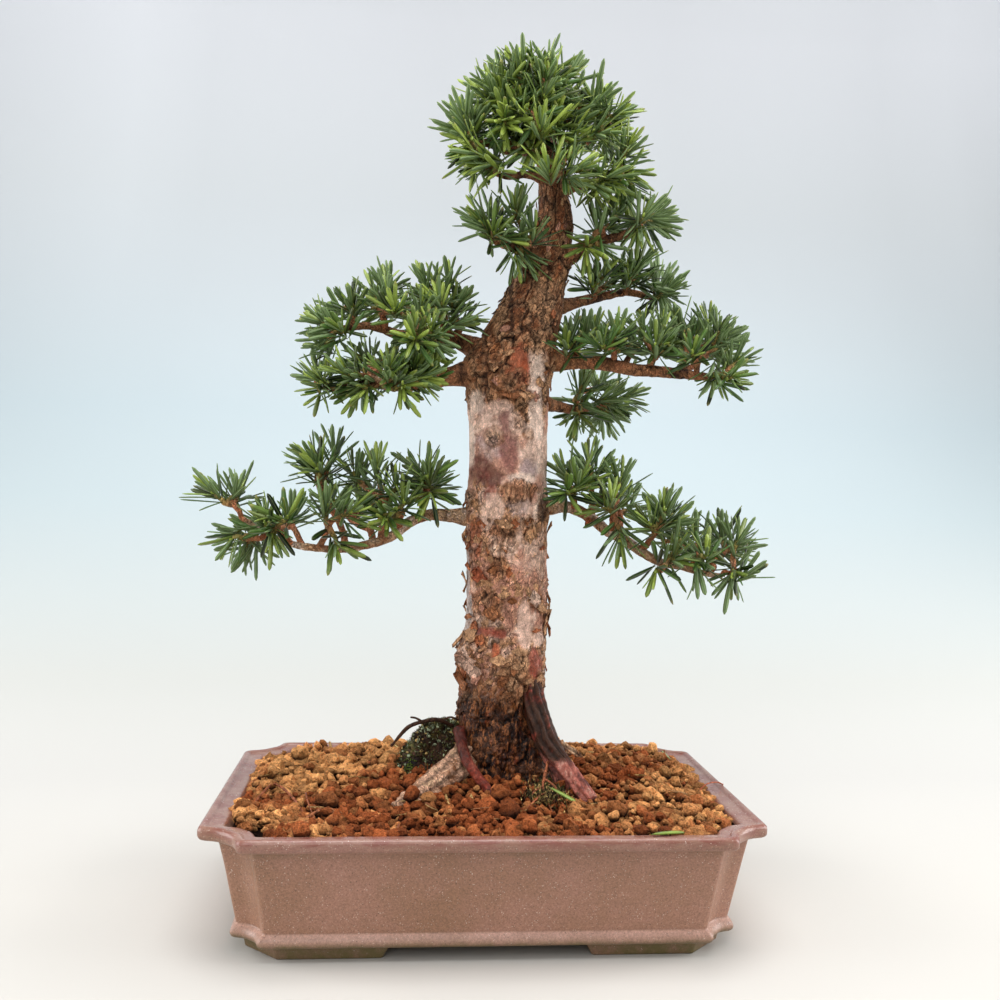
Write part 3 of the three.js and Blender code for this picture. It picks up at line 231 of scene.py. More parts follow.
# Patches of bark on the trunk's front, as [x, z, half width, half height, colour]. The blue patch and
# the white one at x -10.1 lie on the trunk's left edge, and the white ones near x 25 by its right edge:
# smooth pale bark painted with the side lights' highlights. The hollow patches at the foot are near-black
# painted shadow.
PATCHES = [
    (1.1, 160.5, 8.5, 9, "brown"), (6.8, 179.2, 5.3, 5.3, "brown"), (-9.2, 161.9, 2.6, 23.8, "edge_reflection"),
    (13.5, 153.7, 3.7, 7.4, "pink"), (28.9, 160.9, 4.2, 4.8, "brown"), (0.9, 144.7, 5.8, 3.2, "red"),
    (7.7, 144.1, 3.7, 2.6, "red"), (6.4, 134.4, 2.6, 5.8, "orange"), (22.4, 147, 4.4, 12, "pale"),
    (18.5, 129.2, 7.4, 5.3, "tan"), (28.4, 128.5, 4.2, 8.5, "red"), (15.1, 287.1, 5.8, 9, "peel"),
    (17.6, 283.1, 2.6, 4.2, "orange"), (25.7, 284.4, 2.6, 7.9, "white"), (2.7, 285.2, 9.5, 14.8, "brown"),
    (-6.4, 268.5, 3.7, 5.3, "white"), (25.6, 260.5, 5.3, 12.7, "white"), (4.9, 263.6, 7.4, 4.2, "pale"),
    (11.3, 241, 4.8, 11.6, "purple"), (8.2, 256.8, 4.2, 5.3, "purple"), (-3.9, 232.1, 6.3, 7.4, "maroon"),
    (1.9, 226.7, 6.3, 5.8, "maroon"), (2.1, 217.8, 4.2, 4.8, "red"), (22.2, 232.8, 5.3, 5.3, "lilac"),
    (18.1, 226.8, 7.4, 3.2, "white"), (16.1, 219.9, 10.6, 5.8, "brown"), (3, 210, 5, 10, "pale"),
    (16.6, 198.1, 3.2, 7.4, "pale"), (30.8, 210.6, 3.2, 7.4, "dark"), (-5.6, 193.9, 3.2, 10.6, "rust"),
    (9.7, 199.5, 7.4, 4.2, "brown"), (-10.1, 246.8, 3.2, 15.9, "white"), (24.6, 242.4, 3.2, 7.4, "pale"),
    (2.9, 297.4, 10.6, 7.4, "brown"), (15, 305.7, 10.6, 10.6, "brown"), (30, 141.1, 3.2, 5.3, "pale"),
    (-0.9, 175.4, 4.2, 5.3, "pink"), (24.8, 285, 5.4, 14, "white"), (29, 321, 5.5, 16, "tan"),
    (25, 301, 5, 7, "tan"), (5, 316, 3.5, 22, "tan"), (11, 313, 1.3, 24, "dark"),
    (14.6, 287.5, 5.8, 10.5, "peel"), (18.4, 284, 2.4, 7, "orange"), (22, 85, 4, 7, "hollow"),
    (20, 68, 8, 4, "hollow"), (3, 74, 4, 9, "hollow"), (-8, 104, 3, 6, "hollow"),
]

# Scars of lost twigs on the trunk's front, as [x, z, radius]
KNOTS = [
    (15.6, 280.4, 3.6), (12.6, 191.6, 3.2), (3, 248.7, 3.4), (8.8, 277.2, 4), (15.4, 257.1, 1.8),
    (21.7, 250.8, 2), (-7.6, 216.8, 2.2), (19.8, 203.5, 3), (5, 193.6, 3.4), (1.6, 204.7, 0.9),
]

# Loose flakes of bark, as [angle in degrees from the right over the back, height, width, length,
# how far the free end stands off, which end is free: 1 the upper, -1 the lower, colour]
FLAKES = [
    (223, 127, 13, 21, 8, 1, "pale"), (205, 116, 11, 15, 4, 1, "brown"), (188, 139, 6, 9, 3, -1, "tan"),
    (184, 172, 6, 8, 2, 1, "tan"), (186, 197, 6, 9, 1.8, -1, "tan"), (225, 174, 9, 10, 2.2, 1, "peel"),
    (236, 170, 8, 7, 2, 1, "tan"), (338, 149, 8, 18, 1.8, 1, "tan"), (352, 147, 8, 12, 1.6, -1, "brown"),
    (350, 163, 6, 10, 1.4, -1, "brown"), (356, 199, 5, 9, 2.4, 1, "tan"), (268, 272, 12, 6, 1.8, -1, "brown"),
    (290, 271, 9, 5, 1.8, -1, "tan"), (300, 198, 8, 12, 1.8, 1, "tan"), (262, 203, 7, 6, 1.5, -1, "tan"),
    (246, 155, 9, 8, 1.6, -1, "brown"), (305, 163, 8, 9, 2, -1, "pale"), (318, 158, 8, 7, 2.2, -1, "tan"),
    (215, 143, 8, 10, 1.6, -1, "tan"), (192, 214, 4, 7, 2.6, -1, "brown"), (262, 130, 10, 7, 1.8, -1, "tan"),
]

# sRGB colours of the bark, the twigs and the litter
BARK = {
    "pale": (206, 184, 172), "white": (226, 212, 202), "pink": (188, 146, 130), "brown": (150, 104, 72),
    "dark": (64, 40, 27), "red": (138, 62, 50), "orange": (180, 90, 56), "purple": (128, 88, 84),
    # blue: the painted reflection of the side lights on the trunk's left edge
    "maroon": (100, 56, 50), "lilac": (166, 152, 156), "edge_reflection": (168, 168, 170), "tan": (184, 150, 118),
    "rust": (152, 88, 58), "peel": (158, 92, 66), "root": (206, 162, 134),
    "ridged": (64, 36, 22), "flesh": (160, 92, 78), "twig": (176, 114, 80), "straw": (190, 160, 100),
    # hollow: near-black painted shade
    "moss": (88, 88, 42), "lichen": (172, 184, 148), "soil": (60, 42, 30), "hollow": (22, 13, 9),
}


def linear(red, green, edge_reflection):
    """An sRGB colour of 0 to 255 as linear light: c/12.92 below 0.04045, else ((c + 0.055)/1.055)^2.4."""
    share = np.array([red, green, edge_reflection]) / 255
    return tuple(np.where(share < 0.04045, share / 12.92, ((share + 0.055) / 1.055) ** 2.4).tolist())


COLOURS = {name: np.array(linear(*value)) for name, value in BARK.items()}


def size_setting(name, description, default):
    """A setting that holds a size in metres."""
    return bpy.props.FloatProperty(name=name, description=description, default=default, unit="LENGTH")


def colour_setting(name, description, *default):
    """A setting that holds a colour, given as sRGB from 0 to 255."""
    return bpy.props.FloatVectorProperty(
        name=name, description=description, default=linear(*default), subtype="COLOR")


class YewSettings(bpy.types.PropertyGroup):
    """Sizes and colours of the tree"""

    needle_length: size_setting("Needle length", "Length of a full-grown needle", 0.0184)
    needle_width: size_setting("Needle width", "Width of a needle past its middle", 0.0027)
    needle_thickness: size_setting("Needle thickness", "Thickness of a needle at its rib", 0.0008)
    rosette_needles: bpy.props.IntProperty(
        name="Needles at a tip", description="Needles in the rosette at the end of a shoot", default=15)
    bark_relief: size_setting("Bark relief", "Height of the rough bark's plates", 0.0015)
    needle_dark: colour_setting("Old needles", "Upper side of last year's needles", 13, 30, 11)
    needle_green: colour_setting("Needles", "Upper side of full-grown needles", 74, 108, 48)
    needle_young: colour_setting("Young needles", "Needles at the middle of a tip", 164, 184, 82)
    needle_under: colour_setting("Underside", "Pale underside of the needles", 124, 144, 98)


class PotSettings(bpy.types.PropertyGroup):
    """Sizes and colours of the pot"""

    rim_width: size_setting("Rim width", "Outer width of the rim", 0.269)
    rim_depth: size_setting("Rim depth", "Outer depth of the rim", 0.188)
    stoneware: colour_setting("Stoneware", "Colour of the fired clay", 146, 106, 86)
    lip: colour_setting("Lip", "Colour of the worn lip and the inner ledge", 146, 108, 94)
    stain: colour_setting("Green stain", "Algae on the feet and under the moulding", 96, 88, 44)


class SoilSettings(bpy.types.PropertyGroup):
    """Sizes and colours of the soil"""

    grain_size: size_setting("Grain size", "Middle size of the clay grains", 0.0062)
    ochre: colour_setting("Dry grains", "Colour of the dry grains", 222, 160, 100)
    red_brown: colour_setting("Damp grains", "Colour of the damp grains", 146, 78, 42)


class StageSettings(bpy.types.PropertyGroup):
    """The floor, the light and the camera"""

    floor: bpy.props.FloatVectorProperty(
        name="Floor", description="Colour of the floor", subtype="COLOR", default=(0.55, 0.53, 0.495))
    lens: bpy.props.FloatProperty(
        name="Lens", description="Focal length in millimetres on a 36 mm sensor", default=40.3)
    light: bpy.props.FloatProperty(
        name="Light", description="Power of the main light in watts", default=23.0)


# Numbers


def lattice_value(cells, seed):
    """A repeatable number from 0 to 1 for each whole-number cell: its three coordinates times large
    primes, mixed by exclusive or, shifts and products of 32 bits."""
    key = cells.astype(np.int64).astype(np.uint64) & 0xFFFFFFFF
    mixed = (key[..., 0] * 73856093) ^ (key[..., 1] * 19349663) ^ (key[..., 2] * 83492791)
    mixed = (mixed ^ np.uint64(seed * 2654435761 % 2**32)) & 0xFFFFFFFF
    mixed = ((mixed ^ (mixed >> 15)) * 2246822519) & 0xFFFFFFFF
    mixed = ((mixed ^ (mixed >> 13)) * 3266489917) & 0xFFFFFFFF
    return (mixed ^ (mixed >> 16)) / 2.0**32


def noise(points, size, seed=0):
    """Smooth noise from -1 to 1: the values at the corners of a cube with sides of that size, blended
    along each axis by 3t^2 - 2t^3."""
    spot = np.asarray(points) / size
    base = np.floor(spot)
    ease = spot - base
    ease = ease * ease * (3 - 2 * ease)
    total = np.zeros(spot.shape[:-1])
    for corner in np.ndindex(2, 2, 2):
        share = np.prod(np.where(corner, ease, 1 - ease), axis=-1)
        total += share * lattice_value(base + np.array(corner), seed)
    return 2 * total - 1


def layered(points, size, seed=0, layers=3):
    """Noise added up over layers, each with half the size and half the height of the one before."""
    heights = 0.5 ** np.arange(layers)
    parts = [h * noise(points, size * h, seed + i) for i, h in enumerate(heights)]
    return sum(parts) / heights.sum()


def ease(low, high, value):
    """0 below low, 1 above high and 3t^2 - 2t^3 between them, also where low is the larger."""
    t = np.clip((value - low) / (high - low), 0, 1)
    return t * t * (3 - 2 * t)


def plates(around, up, columns, seed):
    """Irregular plates on a strip that closes after that many columns. Each cell has one seed point;
    returned are how much nearer the nearest is than the next, and a number from 0 to 1 of its own."""
    cell_a, cell_b = np.floor(around), np.floor(up)
    near, second, own = np.full(around.shape, 9.0), np.full(around.shape, 9.0), np.zeros(around.shape)
    for step_a, step_b in np.ndindex(3, 3):
        a, b = cell_a + step_a - 1, cell_b + step_b - 1
        key = np.stack([np.mod(a, columns), b, np.zeros_like(a)], axis=-1)
        seed_a, seed_b = lattice_value(key, seed), lattice_value(key, seed + 1)
        distance = np.hypot(a + 0.1 + 0.8 * seed_a - around, b + 0.1 + 0.8 * seed_b - up)
        closer = distance < near
        second = np.where(closer, near, np.minimum(second, distance))
        own = np.where(closer, lattice_value(key, seed + 2), own)
        near = np.where(closer, distance, near)
    return second - near, own


def unit(vectors):
    """Vectors divided by their length."""
    vectors = np.asarray(vectors, float)
    return vectors / np.maximum(np.linalg.norm(vectors, axis=-1, keepdims=True), 1e-9)


def mixed(first, second, share):
    """first times (1 - share) plus second times share, for arrays of colours or the names of some."""
    first, second = (COLOURS[value] if isinstance(value, str) else value for value in (first, second))
    share = np.asarray(share)[..., None]
    return first * (1 - share) + second * share


def bell(value, middle, width):
    """exp(-((value - middle)/width)^2): 1 at the middle and near 0 two widths away."""
    return np.exp(-(((value - middle) / width) ** 2))


def stacked(*parts):
    """Arrays of one coordinate each, broadcast to one shape, as an array of points."""
    return np.stack(np.broadcast_arrays(*parts), -1)


def smooth_path(points, step):
    """A curve through the points at steps of about that length: between each two lies the cubic whose
    slope at each end is half the chord between that end's neighbours."""
    rows = np.array(points, float)
    rows = np.vstack([2 * rows[0] - rows[1], rows, 2 * rows[-1] - rows[-2]])
    curve = []
    for a, b, c, d in zip(rows, rows[1:], rows[2:], rows[3:]):
        count = max(2, int(np.ceil(np.linalg.norm(c[:3] - b[:3]) / step)))
        t = np.linspace(0, 1, count, endpoint=False)[:, None]
        curve.append(b + 0.5 * (c - a) * t + (a - 2.5 * b + 2 * c - 0.5 * d) * t**2
                     + (1.5 * (b - c) + 0.5 * (d - a)) * t**3)
    return np.vstack([*curve, rows[-2][None]])


def copies(faces, count, step):
    """The faces of that many equal meshes, whose points are numbered on by the step."""
    return (faces[None] + (np.arange(count) * step)[:, None, None]).reshape(-1, faces.shape[1])


def cross_frame(line):
    """The way along a line at each point, and two ways square to it, from the axis it follows least."""
    along = unit(np.gradient(line, axis=0))
    axis = np.eye(3)[np.argmin(np.abs(along).mean(axis=0))]
    across = unit(np.cross(along, axis))
    return along, across, np.cross(along, across)


# Surfaces


def ring_faces(rows, columns, closed=True):
    """Faces of a tube of rings numbered row by row, and, where closed, of the two poles after them."""
    i, k = np.meshgrid(np.arange(rows - 1), np.arange(columns), indexing="ij")
    after = (k + 1) % columns
    low, high = i * columns, (i + 1) * columns
    faces = [np.stack([low + k, low + after, high + after, high + k], -1).reshape(-1, 4)]
    if closed:
        k = np.arange(columns)
        after = (k + 1) % columns
        first, last, top = rows * columns, rows * columns + 1, (rows - 1) * columns
        faces.append(np.stack([np.full(columns, first), after, k], -1))
        faces.append(np.stack([np.full(columns, last), top + k, top + after], -1))
    return faces


def closed(rings, poles):
    """The points and faces of rings of points that one pole each closes at both ends."""
    return np.vstack([rings.reshape(-1, 3), poles]), ring_faces(*rings.shape[:2])


def tube(path, sides, relief=None):
    """A closed tube along points of [x, y, z, radius]: centre + (radius + relief)(across cos a + up
    sin a), with a running once round, and a pole in the middle of each end."""
    line, radius = path[:, :3], path[:, 3:4]
    _, across, up = cross_frame(line)
    angle = np.linspace(0, TURN, sides, endpoint=False)
    out = across[:, None] * np.cos(angle)[None, :, None] + up[:, None] * np.sin(angle)[None, :, None]
    rings = line[:, None] + out * radius[..., None]
    if relief is not None:
        rings = rings + out * relief(rings, angle)[..., None]
    return closed(rings, line[[0, -1]])


class Surface:
    """The parts of one piece: points in millimetres, faces as arrays of point numbers, and fields that
    give each point a colour or three values."""

    def __init__(self, *part, **fields):
        self.points, self.faces, self.slots, self.fields, self.count = [], [], [], {}, 0
        if part:
            self.add(*part, **fields)

    def add(self, points, faces, slot=0, **fields):
        points = np.asarray(points, float).reshape(-1, 3)
        self.points.append(points)
        for group in faces:
            self.faces.append(np.asarray(group) + self.count)
            self.slots.append(np.full(len(group), slot))
        for name, values in fields.items():
            values = np.broadcast_to(np.asarray(values, float), (len(points), 3))
            self.fields.setdefault(name, []).append(values)
        self.count += len(points)

    def build(self, name, materials, finish):
        """Puts the whole arrays into one mesh in metres and sets it on the object's body."""
        points = np.concatenate(self.points) * MM
        corners = np.concatenate([group.ravel() for group in self.faces]).astype(np.int32)
        sizes = np.concatenate([np.full(len(group), group.shape[1]) for group in self.faces])
        starts = np.concatenate([[0], np.cumsum(sizes)[:-1]]).astype(np.int32)
        mesh = bpy.data.meshes.new(name)
        for part, key, values, count in (
                (mesh.vertices, "co", points.ravel(), len(points)),
                (mesh.loops, "vertex_index", corners, len(corners)),
                (mesh.polygons, "loop_start", starts, len(starts))):
            part.add(count)
            part.foreach_set(key, values)
        mesh.polygons.foreach_set("material_index", np.concatenate(self.slots).astype(np.int32))
        for field, values in self.fields.items():
            attribute = mesh.attributes.new(field, "FLOAT_VECTOR", "POINT")
            attribute.data.foreach_set("vector", np.concatenate(values).ravel())
        mesh.update(calc_edges=True)
        mesh.validate()
        mesh.shade_smooth()
        for material in materials:
            mesh.materials.append(material)
        piece = bpy.data.objects.new(name, mesh)
        bpy.context.collection.objects.link(piece)
        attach(piece, "root")
        return piece


# Materials


class Shader:
    """Writes a node material: each call adds a node, sets or links its inputs and returns its output."""

    def __init__(self, name):
        self.material = bpy.data.materials.new(name)
        self.material.use_nodes = True
        self.tree = self.material.node_tree
        self.surface = self.tree.nodes["Principled BSDF"]
        self.place = self.node("TexCoord").outputs["Object"]

    def set(self, socket, value):
        if isinstance(value, bpy.types.NodeSocket):
            self.tree.links.new(value, socket)
        else:
            socket.default_value = (*tuple(value)[:3], 1) if socket.type == "RGBA" else value

    def node(self, kind, inputs=None, **settings):
        node = self.tree.nodes.new("ShaderNode" + kind)
        for key, value in settings.items():
            setattr(node, key, value)
        for key, value in (inputs or {}).items():
            self.set(node.inputs[key], value)
        return node

    def finish(self, **inputs):
        for key, value in inputs.items():
            self.set(self.surface.inputs[key.replace("_", " ")], value)
        return self.material

    def field(self, name):
        return self.node("Attribute", attribute_name=name).outputs["Vector"]

    def split(self, vector):
        return self.node("SeparateXYZ", {"Vector": vector}).outputs

    def stretched(self, x, y, z):
        return self.node("Mapping", {"Vector": self.place, "Scale": (x, y, z)}).outputs["Vector"]

    def noise(self, scale, detail=3.0, roughness=0.55, place=None):
        inputs = {"Vector": place or self.place, "Scale": scale, "Detail": detail, "Roughness": roughness}
        return self.node("TexNoise", inputs).outputs["Fac"]

    def warped(self, place, scale, amount):
        """The place pushed about by up to half that amount, as noise of that scale says."""
        shake = self.node("TexNoise", {"Vector": place, "Scale": scale, "Detail": 3.0}).outputs["Color"]
        push = self.node("VectorMath", {0: shake, 1: (0.5, 0.5, 0.5)}, operation="SUBTRACT")
        push = self.node("VectorMath", {0: push.outputs[0], "Scale": amount}, operation="SCALE")
        return self.node("VectorMath", {0: place, 1: push.outputs[0]}).outputs[0]

    def cells(self, scale, output="Distance", feature="F1", place=None):
        inputs = {"Vector": place or self.place, "Scale": scale}
        return self.node("TexVoronoi", inputs, feature=feature).outputs[output]

    def ramp(self, value, *stops):
        """A ramp through stops of (place, colour), where a colour may be one number."""
        node = self.node("ValToRGB", {"Fac": value})
        points = node.color_ramp.elements
        while len(points) < len(stops):
            points.new(0.5)
        for point, (place, colour) in zip(points, stops):
            point.position = place
            point.color = (colour, colour, colour, 1) if np.isscalar(colour) else (*tuple(colour)[:3], 1)
        return node.outputs["Color"]

    def times(self, *values):
        """The product of some values."""
        product, *others = values
        for value in others:
            product = self.maths("MULTIPLY", product, value)
        return product

    def shaded(self, colour, tone, share=1.0):
        """The colour times the tone, by that share."""
        return self.blend(share, colour, tone, "MULTIPLY")

    def mottle(self, scale, detail, roughness, *stops):
        """Noise through a ramp."""
        return self.ramp(self.noise(scale, detail, roughness), *stops)

    def blend(self, share, first, second, mode="MIX"):
        inputs = {0: share, 6: first, 7: second}
        return self.node("Mix", inputs, data_type="RGBA", blend_type=mode).outputs[2]

    def maths(self, operation, first, second=0.0):
        return self.node("Math", {0: first, 1: second}, operation=operation).outputs[0]

    def relief(self, height, distance, strength=1.0, **below):
        inputs = {"Height": height, "Distance": distance, "Strength": strength, **below}
        return self.node("Bump", inputs).outputs["Normal"]


# Pot

# The pot's section from under its floor over the rim to its inside floor, as
# [inset from the rim's edge, height, size of the corner notch, radius of the bend]
POT_SECTION = [
    [40, 6.5, 10, 0], [17.5, 6.5, 14.6, 1.2], [15.6, 6.6, 15, 0.6], [13.3, 7.5, 15.4, 1], [12.5, 9, 15.5, 1],
    [12.6, 10.5, 15.5, 0.8], [13.3, 11.9, 15.5, 0.8], [14.3, 12.9, 15.5, 0.6], [15, 13.7, 15.5, 0.6],
    [11, 34.5, 16.8, 8], [7.3, 54.3, 18, 1.2], [6, 55.5, 19, 0.6], [1.3, 55.6, 21, 0.9], [0.1, 57, 21.7, 1],
    [0.1, 60.7, 21.7, 1.2], [1.7, 62.1, 21.7, 1.2], [3.6, 61.8, 21, 0.9], [4.7, 60.7, 20.2, 0.6],
    [11, 60.5, 17, 0.8], [12.1, 59.3, 16.5, 1.2], [15, 50, 15, 3], [22.5, 15.5, 12, 5], [28, 13, 11, 3],
    [45, 13, 8, 0],
]

# One corner of the pot's outline, in notches from the corner that it takes away: round, hollow, round
CORNER = [
    [0, 1.5], [0, 1.15], [0.004, 1.04], [0.03, 0.97], [0.1, 0.92], [0.3, 0.87], [0.48, 0.78], [0.63, 0.63],
    [0.78, 0.48], [0.87, 0.3], [0.92, 0.1], [0.97, 0.03], [1.04, 0.004], [1.15, 0], [1.5, 0],
]
# The feet's outer edge at the bottom and top: inset, height, and the gap's half width and half depth
FOOT_ROWS = [[19, 0, 50, 32], [17.7, 7.4, 46, 28]]
FOOT_WALL = 11
FOOT_CHAMFER = 16.6
DRAIN_HOLE_X = 62
DRAIN_HOLE_RADIUS = 11


def rounded(rows, steps=4):
    """A polyline whose corners are replaced by (1-t)^2 a + 2t(1-t) b + t^2 c, where a and c lie the
    row's last value before and after the corner b."""
    rows = np.array(rows, float)
    places, bends = rows[:, :-1], rows[:, -1]
    curve = [places[:1]]
    for before, here, after, bend in zip(places, places[1:], places[2:], bends[1:]):
        a = here + unit(before - here) * min(bend, 0.45 * np.linalg.norm(before - here))
        c = here + unit(after - here) * min(bend, 0.45 * np.linalg.norm(after - here))
        t = np.linspace(0, 1, steps)[:, None]
        curve.append((1 - t) ** 2 * a + 2 * t * (1 - t) * here + t**2 * c)
    return np.vstack([*curve, places[-1:]])


def pot_ring(half_x, half_y, notch):
    """The pot's outline at some heights, as [height, point, x or y]: the corner's curve, scaled by the
    notch, in the four quarters, anticlockwise from above."""
    corner = np.array(CORNER)
    rings = []
    for sign_x, sign_y in ((1, -1), (1, 1), (-1, 1), (-1, -1)):
        walk = corner[::-1] if sign_x * sign_y < 0 else corner
        x = sign_x * (half_x[:, None] - walk[None, :, 0] * notch[:, None])
        y = sign_y * (half_y[:, None] - walk[None, :, 1] * notch[:, None])
        rings.append(stacked(x, y))
    return np.concatenate(rings, axis=1)


def pot_body(width, depth):
    """The outline carried up the outside, over the rim and down the inside by the rounded section. The
    rim bows out at its front corners, by 2.6 mm on the left and 1.2 mm on the right times exp(-((y +
    72)/60)^2)."""
    inset, height, notch = rounded(POT_SECTION).T
    flat = pot_ring(width / 2 - inset, depth / 2 - inset, notch)
    x, y, z = np.broadcast_arrays(flat[..., 0], flat[..., 1], height[:, None])
    bow = np.exp(-(((y + 72) / 60) ** 2)) * ease(52, 56, z) * np.abs(x) / 134
    rings = stacked(x + bow * np.where(x < 0, -2.6, 1.2), y, z)
    return closed(rings, [[0, 0, height[0]], [0, 0, height[-1]]])


def foot(sign_x, sign_y, width, depth):
    """One L-shaped foot: outer and inner outline round the corner at two heights, closed at both ends."""
    rows = []
    for wall in (0, FOOT_WALL):
        for inset, z, gap_x, gap_y in FOOT_ROWS:
            x, y, cut = width / 2 - inset - wall, depth / 2 - inset - wall, FOOT_CHAMFER - wall * 0.36
            rows.append([[gap_x, -y, z], [x - cut, -y, z], [x, cut - y, z], [x, -gap_y, z]])
    rings = np.array(rows, float)[[0, 1, 3, 2]].swapaxes(0, 1) * [sign_x, -sign_y, 1]
    faces = ring_faces(4, 4, closed=False) + [np.array([[3, 2, 1, 0], [12, 13, 14, 15]])]
    flip = sign_x * sign_y > 0
    return rings.reshape(-1, 3), [group[:, ::-1] if flip else group for group in faces]


def stoneware(settings):
    """Fired clay: cloudy mauve brown with pale grog and dark iron specks, a bead painted lighter, partly
    rubbed wear and partly a painted highlight from the light above, a lighter lower wall, a darker,
    glossier lip above 57 mm, and green algae that thins out from the feet up."""
    mat = Shader("stoneware")
    height = mat.split(mat.place)["Z"]
    rise, low_rise = mat.times(height, 10), mat.times(height, 20)
    colour = mat.blend(mat.mottle(22, 6, 0.68, (0.35, 0), (0.68, 1)),
                       mat.blend(0.2, settings.stoneware, (0.1, 0.075, 0.035)),
                       mat.blend(0.38, settings.stoneware, linear(170, 128, 122)))
    # The bead is painted lighter in worn patches: partly rubbed wear, partly a painted highlight where it
    # catches the light from above
    bead = mat.ramp(low_rise, (0.15, 0), (0.18, 0.4), (0.25, 0.85), (0.262, 0.85), (0.28, 0))
    worn = mat.mottle(60, 5, 0.7, (0.34, 0.55), (0.6, 1))
    colour = mat.blend(mat.times(bead, worn), colour, linear(196, 154, 138))
    colour = mat.shaded(colour, mat.mottle(1000, 5, 0.85, (0.36, 0.68), (0.64, 1.32)))
    rub = mat.ramp(rise, (0.125, 1), (0.15, (1.2, 1.17, 1.08)), (0.35, (1.15, 1.12, 1.02)),
                   (0.53, (1.06, 1.03, 0.96)), (0.56, 1))
    colour = mat.shaded(colour, rub)
    ledge = mat.ramp(rise, (0.585, 0), (0.6, 1))
    colour = mat.blend(mat.times(ledge, 0.65), colour, settings.lip)
    wet = mat.ramp(mat.noise(1, 3, 0.6, mat.stretched(90, 90, 400)), (0.4, 0), (0.62, 1))
    edge = mat.ramp(rise, (0.555, 0), (0.575, 0.35), (0.6, 0.9), (0.62, 1))
    colour = mat.blend(mat.times(edge, wet, 0.75), colour, linear(124, 66, 58))
    grog = mat.ramp(mat.cells(1000), (0.13, 1), (0.24, 0))
    sparse = mat.mottle(330, 4, 0.7, (0.48, 0), (0.66, 1))
    colour = mat.blend(mat.times(grog, sparse), colour, linear(240, 226, 212))
    iron = mat.ramp(mat.cells(420), (0.07, 1), (0.13, 0))
    colour = mat.blend(mat.times(iron, 0.7), colour, linear(58, 40, 36))
    low = mat.ramp(low_rise, (0.12, 1), (0.16, 0.9), (0.21, 0.25), (0.3, 0))
    under = mat.ramp(rise, (0.5, 0), (0.54, 0.5), (0.555, 0.6), (0.56, 0))
    patchy = mat.times(under, mat.mottle(26, 4, 0.7, (0.46, 0), (0.62, 1)))
    moist = mat.mottle(90, 6, 0.75, (0.36, 0.3), (0.6, 1))
    low = mat.times(mat.maths("MAXIMUM", low, patchy), moist)
    colour = mat.blend(mat.times(low, 0.88), colour, settings.stain)
    rough = mat.mottle(90, 4, 0.55, (0.3, 0.34), (0.7, 0.5))
    rough = mat.blend(mat.times(edge, 0.75), rough, (0.2, 0.2, 0.2))
    bump = mat.relief(mat.noise(650, 3), 0.00018, 0.6)
    bump = mat.relief(mat.noise(60, 3), 0.0006, 0.35, Normal=bump)
    return mat.finish(Base_Color=colour, Roughness=rough, Normal=bump)


def plastic_net():
    """Black moulded net with a faint grain."""
    mat = Shader("drain_net")
    colour = mat.ramp(mat.noise(300), (0.3, 0.008), (0.7, 0.02))
    return mat.finish(Base_Color=colour, Roughness=0.55, Normal=mat.relief(mat.noise(900), 0.0001))


class BONSAI_OT_pot(bpy.types.Operator):
    """Build the pot, its feet and its drain holes"""

    bl_idname = "bonsai.pot"
    bl_label = "Pot"

    def execute(self, context):
        settings = context.scene.bonsai_pot
        width, depth = settings.rim_width / MM, settings.rim_depth / MM
        material = stoneware(settings)
        piece = Surface(*pot_body(width, depth)).build("pot_body", [material], "stoneware")
        cutter = Surface()
        for x in (-DRAIN_HOLE_X, DRAIN_HOLE_X):
            cutter.add(*tube(np.array([[x, 0, z, DRAIN_HOLE_RADIUS] for z in (3, 8, 12, 18)], float), 48))
        holes = cutter.build("drain_holes", [material], "stoneware")
        cut = piece.modifiers.new("drain_holes", "BOOLEAN")
        cut.object, cut.operation, cut.solver = holes, "DIFFERENCE", "EXACT"
        whole = bpy.data.meshes.new_from_object(piece.evaluated_get(context.evaluated_depsgraph_get()))
        piece.modifiers.clear()
        piece.data = whole
        bpy.data.objects.remove(holes)
        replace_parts(piece, "pot")

        feet = Surface()
        for sign_x, sign_y in ((1, 1), (-1, 1), (-1, -1), (1, -1)):
            feet.add(*foot(sign_x, sign_y, width, depth))
        stand = feet.build("pot_feet", [material], "stoneware")
        bevel = stand.modifiers.new("worn_edges", "BEVEL")
        bevel.width, bevel.segments, bevel.limit_method = 0.0009, 2, "ANGLE"
        stand.data.shade_flat()
        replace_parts(stand, "pot")
        net = plastic_net()
        for node in ("drain_mesh_left", "drain_mesh_right"):
            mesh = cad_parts[node].data
            mesh.materials.clear()
            mesh.materials.append(net)
        return {"FINISHED"}


# Soil

SOIL_EDGE_HEIGHT = 58.4
SOIL_HEAP = 14
HEAP_CENTRE = (12, 33)
HEAP_SPREAD = (75, 45)
HEAP_END = (121, 84)
SOIL_SECTION = [[24, 13.5, 12], [15.5, 50, 15], [12.6, 59, 16.5]]
BED_DEPTH = 1.6

# Half the rim's sizes, where the grains' grid ends, how far out a grain's middle may lie, and the place
# and radius of the trunk's foot
RIM_HALF = (134.5, 94)
GRAIN_FIELD = (122, 84)
GRAIN_LIMIT = (120.2, 79.7)
TRUNK_FOOT = (12, 15)
FOOT_RADIUS = 27


def soil_height(x, y):
    """The heaped surface: edge + heap exp(-(u^2 + v^2)/2)(1 - (x/121)^6)(1 - (y/84)^6), where u and v
    are the distances from the heap's middle over its spread."""
    u, v = (x - HEAP_CENTRE[0]) / HEAP_SPREAD[0], (y - HEAP_CENTRE[1]) / HEAP_SPREAD[1]
    to_edge = np.clip(1 - (x / HEAP_END[0]) ** 6, 0, 1) * np.clip(1 - (y / HEAP_END[1]) ** 6, 0, 1)
    return SOIL_EDGE_HEIGHT + SOIL_HEAP * np.exp(-0.5 * (u**2 + v**2)) * to_edge


